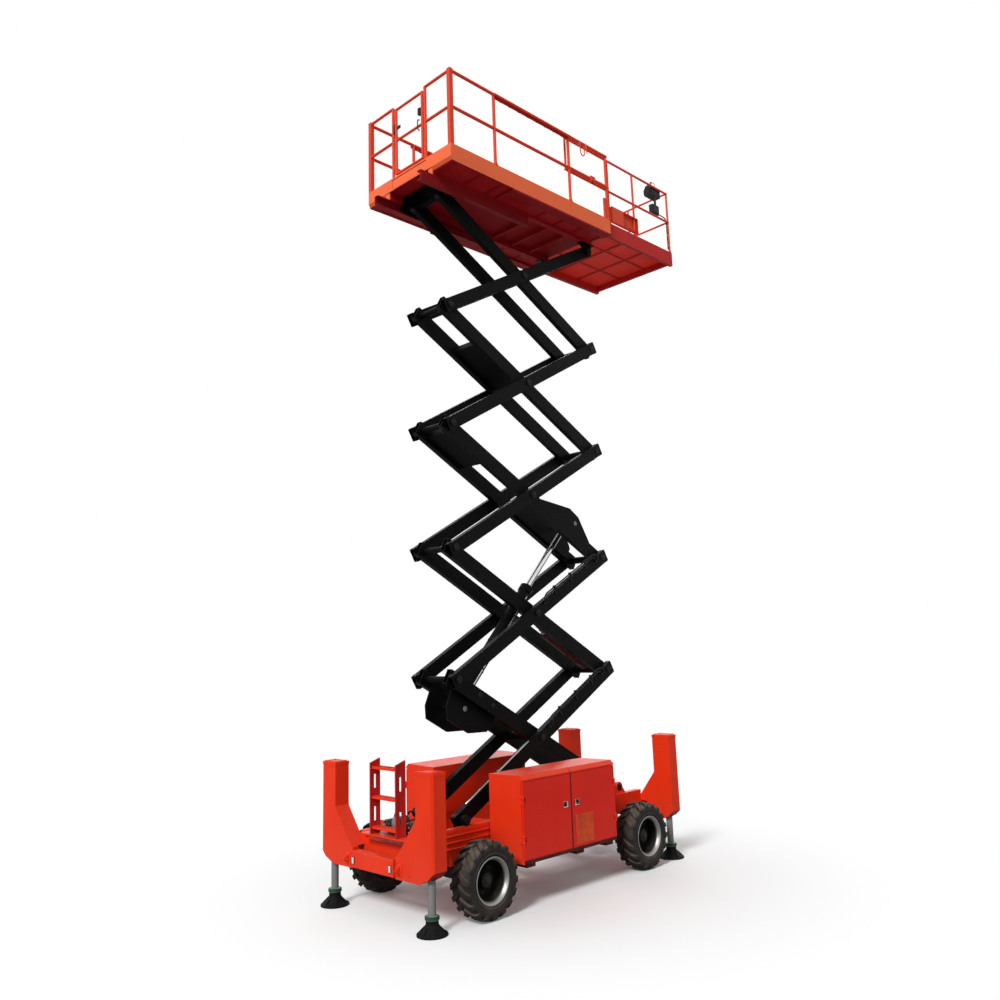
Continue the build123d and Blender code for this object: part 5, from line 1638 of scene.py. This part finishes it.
@dataclass
class MainDeck(Deck):
    """Belly sheets, tread floor, rail sockets, caps, racks, the hanging lock loop and the gate's fittings."""

    home: ClassVar[str] = "platform"
    rear: float = -2.183
    front: float = 1.128
    slot: float = -1.013
    half: float = 0.895
    floor_top: float = 9.283
    toe_top: float = 9.444
    rail_top: float = 10.544
    mid_rail: float = 9.994
    rail_y: float = 0.875
    posts: tuple = (-1.35, 0.216, 1.108)
    belly_z: tuple = (9.2155, 9.2195)

    def build(self) -> None:
        """Builds every piece of the main deck."""
        self._belly()
        self._tread()
        self._sockets()
        self._corner_caps()
        self._lock_loop()
        self._mid_rail_latch()
        self._gate_fittings()
        self._kick_plate_rim()
        self._rail_racks()

    def _rail_racks(self) -> None:
        """Adds the toothed bar under each top rail, between its second and third posts."""
        top, teeth_count, end_gap = self.rail_top, 8, 0.12
        low, high = self.posts[0] + 0.02, self.posts[1] - 0.02
        pitch = (high - low - 2 * end_gap) / (teeth_count - 1)
        for side in Side:
            bar = Bench.block((low, side * 0.866, top - 0.084), (high, side * 0.892, top - 0.04), 0.003, 1)
            tooth = Bench.block(
                (-0.016, side * 0.87, top - 0.093), (0.016, side * 0.888, top - 0.082), 0.003, 1)
            teeth = Bench.spread(
                tooth,
                [Matrix.Translation((low + end_gap + index * pitch, 0, 0)) for index in range(teeth_count)])
            self.give((teeth, bar), f"rail_rack_{side.word}", Finishes.ROLL_OUT)

    def _belly(self) -> None:
        """Adds a pressed sheet in every bay of the underside, in a dark crimson that paints its shade."""
        bays = ((-2.01, -1.625, 0.858), (-1.571, -1.225, 0.858), (-1.171, -1.035, 0.858),
                (-1.009, -0.175, 0.743), (-0.121, 0.225, 0.743), (0.279, 0.625, 0.743), (0.679, 1.076, 0.743))
        sheets = []
        for side in Side:
            for low, high, reach in bays:
                sheets.append(self.pressed(
                    (low, side * 0.502, self.belly_z[0]), (high, side * reach, self.belly_z[1]), 0.022, 0.008))
        self.give(sheets, "deck_belly_sheets", Finishes.BELLY)
        skirts = [Bench.block((self.rear + 0.032, side * 0.857, 9.2045),
                              (self.slot - 0.022, side * 0.8945, 9.264), 0.0015, 1) for side in Side]
        self.give(skirts, "deck_edge_skirts", Finishes.PLATFORM)

    def _tread(self) -> None:
        """Adds the chequered sheets that cover the floor."""
        sheets = []
        for low, high, reach in (
                (self.rear + 0.034, self.slot - 0.002, 0.85), (self.slot + 0.002, self.front - 0.004, 0.755)):
            sheets.append(self.chequered(
                (low, -reach, self.floor_top - 0.0005), (high, reach, self.floor_top + 0.0016)))
        self.give(sheets, "deck_tread_sheets", Finishes.TREAD)

    def _sockets(self) -> None:
        """Adds the flanged sockets at the foot of the rail posts."""
        profile = ((0.0215, 0), (0.034, 0), (0.034, 0.005), (0.0285, 0.008), (0.0285, 0.034), (0.0265, 0.037),
                   (0.0215, 0.037))
        self.give(self.socketed(profile, 28), "rail_post_sockets", Finishes.RAIL)

    def _corner_caps(self) -> None:
        """Adds a low peaked cap on each rear corner post."""
        caps = []
        for side in Side:
            cap = Bench.block((self.rear - 0.001, side * (self.half - 0.061), self.rail_top - 0.0005),
                              (self.rear + 0.061, side * (self.half + 0.001), self.rail_top + 0.004))
            Bench.shape(cap, (0, 0, 1), Bench.inset(0.004), Bench.pull((0, 0, 0.006)),
                        Bench.resize((0.45, 0.45, 1)))
            caps.append(cap)
        self.give(caps, "corner_post_caps", Finishes.RAIL)

    def _lock_loop(self) -> None:
        """Adds the bent-rod lock handle that hangs from the right-hand top rail."""
        y, top = -0.908, self.rail_top - 0.01
        handle = Bench.line(((0.47, y + 0.01, top), (0.47, y - 0.004, top - 0.02), (0.47, y, top - 0.12),
                             (0.472, y, top - 0.19), (0.5, y, top - 0.235), (0.545, y, top - 0.235),
                             (0.57, y, top - 0.19), (0.566, y, top - 0.12), (0.556, y, top - 0.07)), 0.0085, 3)
        self.give(handle, "rail_lock_handle", Finishes.RAIL)
        strap = Bench.line(((0.612, y + 0.004, top), (0.612, y, top - 0.03), (0.616, y, top - 0.09),
                            (0.626, y, top - 0.15)), 0.009, 3)
        self.give(strap, "rail_lock_strap", Finishes.RAIL)
        bands = [Bench.turned(((0.0278, 0), (0.0325, 0.001), (0.0325, 0.025), (0.0278, 0.026)),
                              (x, -0.875, self.rail_top - 0.023), (1, 0, 0), 32, closed=True)
                 for x in (0.457, 0.6)]
        self.give(bands, "rail_lock_bands", Finishes.STEEL)

    def _mid_rail_latch(self) -> None:
        """Adds the spring latch that holds the roll-out rails to the middle rail."""
        x, y, z = 0.735, -0.875, self.mid_rail
        body = Bench.block((x - 0.055, y - 0.041, z - 0.05), (x + 0.055, y - 0.02, z + 0.036), 0.005)
        Bench.shape(body, (0, -1, 0), Bench.inset(0.01, -0.003))
        self.give(body, "mid_rail_latch", Finishes.RAIL)
        knob = Bench.turned(((0, 0.04), (0.009, 0.039), (0.013, 0.034), (0.013, 0.026), (0.006, 0.022),
                             (0.006, 0), (0, 0)), (x, y - 0.03, z - 0.048), (0, 0, -1), 20)
        self.give(knob, "mid_rail_latch_knob", Finishes.SEAL)

    def _gate_fittings(self) -> None:
        """Adds the gate's spring closer, its latch and its hand grip."""
        x = self.rear + 0.02
        base = self.toe_top
        coil = Bench.turned(((0, 0.16), (0.01, 0.16), (0.01, 0.146), (0.021, 0.144), (0.023, 0.14),
                             (0.023, 0.02), (0.021, 0.016), (0.01, 0.014), (0.01, 0), (0, 0)),
                            (x, 0.297, base + 0.66), (0, 0, 1), 24)
        self.give(coil, "gate_closer", Finishes.SEAL)
        arm = Bench.block((x - 0.006, 0.175, base + 0.715), (x + 0.006, 0.268, base + 0.765), 0.003)
        Bench.shape(arm, (0, -1, 0), Bench.resize((1, 1, 0.5)))
        self.give(arm, "gate_closer_arm", Finishes.SEAL, "gate")
        latch = Bench.block((x - 0.03, -0.29, base + 0.7), (x + 0.016, -0.235, base + 0.8), 0.006)
        Bench.shape(latch, (-1, 0, 0), Bench.inset(0.012, 0.006))
        self.give(latch, "gate_latch", Finishes.SEAL, "gate")
        grip = Bench.line(((x - 0.018, -0.262, base + 0.62), (x - 0.045, -0.262, base + 0.615),
                           (x - 0.052, -0.262, base + 0.58), (x - 0.052, -0.262, base + 0.5),
                           (x - 0.045, -0.262, base + 0.465), (x - 0.018, -0.262, base + 0.46)), 0.008, 3)
        self.give(grip, "gate_grip", Finishes.SEAL, "gate")

    def _kick_plate_rim(self) -> None:
        """Adds the flat rim round the recessed kick plate below the gate."""
        low, high = (-0.385, 9.288), (0.35, 9.419)
        bars = [Bench.block((self.rear - 0.0015, low[0] - 0.01, z - 0.005),
                            (self.rear + 0.004, high[0] + 0.01, z + 0.005), 0.0015, 1)
                for z in (low[1] - 0.004, high[1] + 0.004)]
        bars += [Bench.block((self.rear - 0.0015, y - 0.005, low[1] - 0.004),
                             (self.rear + 0.004, y + 0.005, high[1] + 0.004), 0.0015, 1)
                 for y in (low[0] - 0.005, high[0] + 0.005)]
        self.give(bars, "kick_plate_rim", Finishes.PLATFORM)


@dataclass
class RollOutDeck(Deck):
    """Belly sheets, tread floor, sockets and the control station of the roll-out deck."""

    home: ClassVar[str] = "extension"
    rear: float = 0.727
    front: float = 2.882
    floor: float = 9.328
    toe_top: float = 9.438
    rail_y: float = 0.812
    rail_top: float = 10.544
    posts: tuple = (1.227, 1.882, 2.857)
    console: tuple = (2.432, 2.712)
    narrow_bay: float = 0.1

    def build(self) -> None:
        """Builds every piece of the roll-out deck."""
        self._belly()
        self._tread()
        self._sockets()
        self._rollers()
        self._tray_trim()
        self._console_trim()
        self._conduit()

    def _belly(self) -> None:
        """Adds a pressed sheet in every bay of the underside, in a brighter red that paints light on it."""
        sheets = []
        for low, high in ((1.135, 1.175), (1.219, 1.725), (1.769, 2.275), (2.319, 2.835)):
            for near, far in ((-0.773, -0.292), (-0.258, 0.258), (0.292, 0.773)):
                corners_of = (low, near, self.floor - 0.0045), (high, far, self.floor + 0.0005)
                wide = high - low > self.narrow_bay
                sheets.append(self.pressed(*corners_of, 0.02, 0.007) if wide else Bench.block(*corners_of))
        self.give(sheets, "roll_out_belly_sheets", Finishes.ROLL_OUT_BELLY)

    def _tread(self) -> None:
        """Adds the chequered sheet that covers the floor."""
        sheet = self.chequered(
            (self.rear + 0.004, -0.816, self.floor + 0.0175), (self.front - 0.049, 0.816, self.floor + 0.0196))
        self.give(sheet, "roll_out_tread_sheet", Finishes.TREAD)

    def _sockets(self) -> None:
        """Adds the flanged sockets at the foot of the rail posts."""
        profile = ((0.0165, 0), (0.024, 0), (0.024, 0.005), (0.0215, 0.007), (0.0215, 0.028), (0.0195, 0.031),
                   (0.0165, 0.031))
        self.give(self.socketed(profile, 24), "roll_out_sockets", Finishes.RAIL)

    def _rollers(self) -> None:
        """Adds the nylon rollers near the rear end of the side rails, which run in the troughs."""
        roller = Bench.turned((
            (0, 0.011), (0.006, 0.011), (0.018, 0.009), (0.0195, 0.006), (0.0195, -0.006), (0.018, -0.009),
            (0.006, -0.011), (0, -0.011)), ORIGIN, (0, 1, 0), 28)
        places = [Matrix.Translation((x, side * 0.763, 9.222)) for side in Side for x in (0.8, 0.98)]
        self.give(Bench.spread(roller, places), "roll_out_rollers", Finishes.SEAL)

    def _tray_trim(self) -> None:
        """Adds the folded rim of the tool tray's opening."""
        low, high = (1.577, 9.505), (1.943, 9.736)
        y = (-0.8355, -0.8315)
        bars = [Bench.block((low[0] - 0.006, y[0], z - 0.005), (high[0] + 0.006, y[1], z + 0.005), 0.001, 1)
                for z in (low[1] - 0.001, high[1] + 0.001)]
        bars += [Bench.block((x - 0.005, y[0], low[1]), (x + 0.005, y[1], high[1]), 0.001, 1)
                 for x in (low[0] - 0.001, high[0] + 0.001)]
        self.give(bars, "tool_tray_rim", Finishes.ROLL_OUT)

    def _on_console(self, across: float, up: float) -> tuple[Vector, Vector]:
        """A point on the console's sloping face.

        Args:
            across: Fraction of its length from the rear end.
            up: Fraction of its height.

        Returns:
            The point and the way the face looks.
        """
        low, high = Vector((0, -0.65, self.rail_top - 0.06)), Vector((0, -0.7, self.rail_top + 0.02))
        point = low.lerp(high, up)
        point.x = self.console[0] + across * (self.console[1] - self.console[0])
        return point, Vector((0, 0.848, 0.53)).normalized()

    def _console_trim(self) -> None:
        """Adds the stop button, push buttons, lever boot, lever guard and covers of the control station."""
        x, top = self.console[0], self.rail_top
        seat, out = self._on_console(0.84, 0.5)
        collar = Bench.turned(((0, 0.006), (0.02, 0.006), (0.024, 0.003), (0.024, -0.001), (0, -0.001)), seat,
                              out, 28)
        self.give(collar, "stop_button_collar", Finishes.MARKER)
        knob = Bench.turned(((0, 0.026), (0.01, 0.0255), (0.016, 0.022), (0.0175, 0.017), (0.016, 0.014),
                             (0.009, 0.011), (0.009, 0.004), (0, 0.004)), seat, out, 28)
        self.give(knob, "stop_button", Finishes.CHASSIS)
        buttons = []
        for across in (0.3, 0.43, 0.56, 0.69):
            for up in (0.28, 0.7):
                place, way = self._on_console(across, up)
                buttons.append(
                    Bench.turned(
                        ((0, 0.008), (0.006, 0.0075), (0.0072, 0.006), (0.0072, 0.002), (0.0098, 0.002),
                         (0.0098, -0.001), (0, -0.001)), place, way, 18))
        self.give(buttons, "push_buttons", Finishes.ZINC)
        lever = (x + 0.08, -0.75, top)
        boot = Bench.turned(((0.0092, 0.046), (0.013, 0.044), (0.015, 0.04), (0.017, 0.041), (0.02, 0.036),
                             (0.022, 0.031), (0.025, 0.031), (0.028, 0.024), (0.031, 0.0195), (0.0092, 0.0195)),
                            lever, (0, 0, 1), 28, closed=True)
        self.give(boot, "lever_boot", Finishes.SEAL)
        guard = Bench.line(((x + 0.012, -0.785, top + 0.018), (x + 0.012, -0.785, top + 0.066),
                            (x + 0.05, -0.785, top + 0.08), (x + 0.115, -0.785, top + 0.08),
                            (x + 0.15, -0.785, top + 0.066), (x + 0.15, -0.785, top + 0.018)), 0.006, 3)
        self.give(guard, "lever_guard", Finishes.ZINC)
        face = Bench.block((x + 0.012, -0.796, top - 0.138), (self.console[1] - 0.012, -0.791, top + 0.008),
                           0.002)
        Bench.shape(face, (0, -1, 0), Bench.inset(0.01, 0.002))
        self.give(face, "console_back_cover", Finishes.CONTROL)
        lid = Bench.block((x + 0.05, -0.7965, top - 0.47), (x + 0.21, -0.7915, top - 0.33), 0.002)
        Bench.shape(lid, (0, -1, 0), Bench.inset(0.012, -0.002))
        self.give(lid, "junction_box_lid", Finishes.CONTROL)

    def _conduit(self) -> None:
        """Adds the conduit clipped between the console, the junction box and the rail post."""
        x, top = self.console[0], self.rail_top
        lines = [Bench.line(((x + 0.19, -0.742, top - 0.148), (x + 0.19, -0.742, top - 0.19),
                             (x + 0.2, -0.748, top - 0.25), (x + 0.18, -0.752, top - 0.29),
                             (x + 0.18, -0.752, top - 0.325)), 0.009, 3),
                 Bench.line(((x + 0.218, -0.752, top - 0.44), (x + 0.26, -0.752, top - 0.44),
                             (x + 0.36, -0.79, top - 0.47), (x + 0.402, -0.798, top - 0.52),
                             (x + 0.404, -0.798, top - 0.7), (x + 0.404, -0.798, top - 1.05)), 0.009, 3)]
        self.give(lines, "control_conduits", Finishes.HOSE)
        clips = [Bench.block((x + 0.392, -0.815, z - 0.008), (x + 0.416, -0.786, z + 0.008), 0.003)
                 for z in (top - 0.62, top - 0.8, top - 0.98)]
        self.give(clips, "control_conduit_clips", Finishes.ZINC)


# ---- the whole machine
def paint_nodes(finishes: Finishes) -> None:
    """Gives every carried-over node its finish.

    Args:
        finishes: The machine's finishes.
    """
    starts = {Finishes.ARM: ("outer_arms", "inner_arms", "lift_cylinder_barrel", "platform_carriage",
                             "platform_front"), Finishes.STEEL: ("foot_pivot",),
              Finishes.CHROME: ("lift_cylinder_rod",), Finishes.PROP: ("maintenance_prop",),
              # The platform's slide parts take a dark red that paints the shade under the deck.
              Finishes.SLIDE: ("platform_slide",), Finishes.PLATFORM: ("platform_deck",),
              Finishes.ROLL_OUT: ("extension_deck",), Finishes.CONTROL: ("control_box",),
              Finishes.RAIL: ("guard_rails", "rear_rails", "rear_gate", "extension_rails", "extension_front"),
              Finishes.RUBBER: ("tyre",), Finishes.RIM: ("rim",),
              Finishes.AXLE: ("steering", "rear_axle", "front_axle"), Finishes.DOOR: ("box_door",),
              Finishes.LEG: ("outrigger_leg",), Finishes.PUMP: ("pump_set", "oil_tank"),
              Finishes.ENGINE: ("engine_block",)}
    for node in sorted(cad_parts):
        finish = next((finish for finish, names in starts.items() if node.startswith(names)), Finishes.CHASSIS)
        finishes.paint_node(node, finish)


def main() -> None:
    """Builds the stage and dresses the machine."""
    logging.basicConfig(level=logging.INFO, format="%(message)s")
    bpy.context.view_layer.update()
    Studio().build()
    finishes = Finishes()
    paint_nodes(finishes)
    dresser = Dresser(finishes)
    for assembly in (Wheels, Outriggers, ChassisEnds, SideBoxes, ScissorArms, LiftCylinder, MainDeck,
                     RollOutDeck):
        log.info("building %s", assembly.__name__)
        assembly(dresser).build()
    log.info("%d pieces added", dresser.count)


if __name__ == "__main__":
    main()
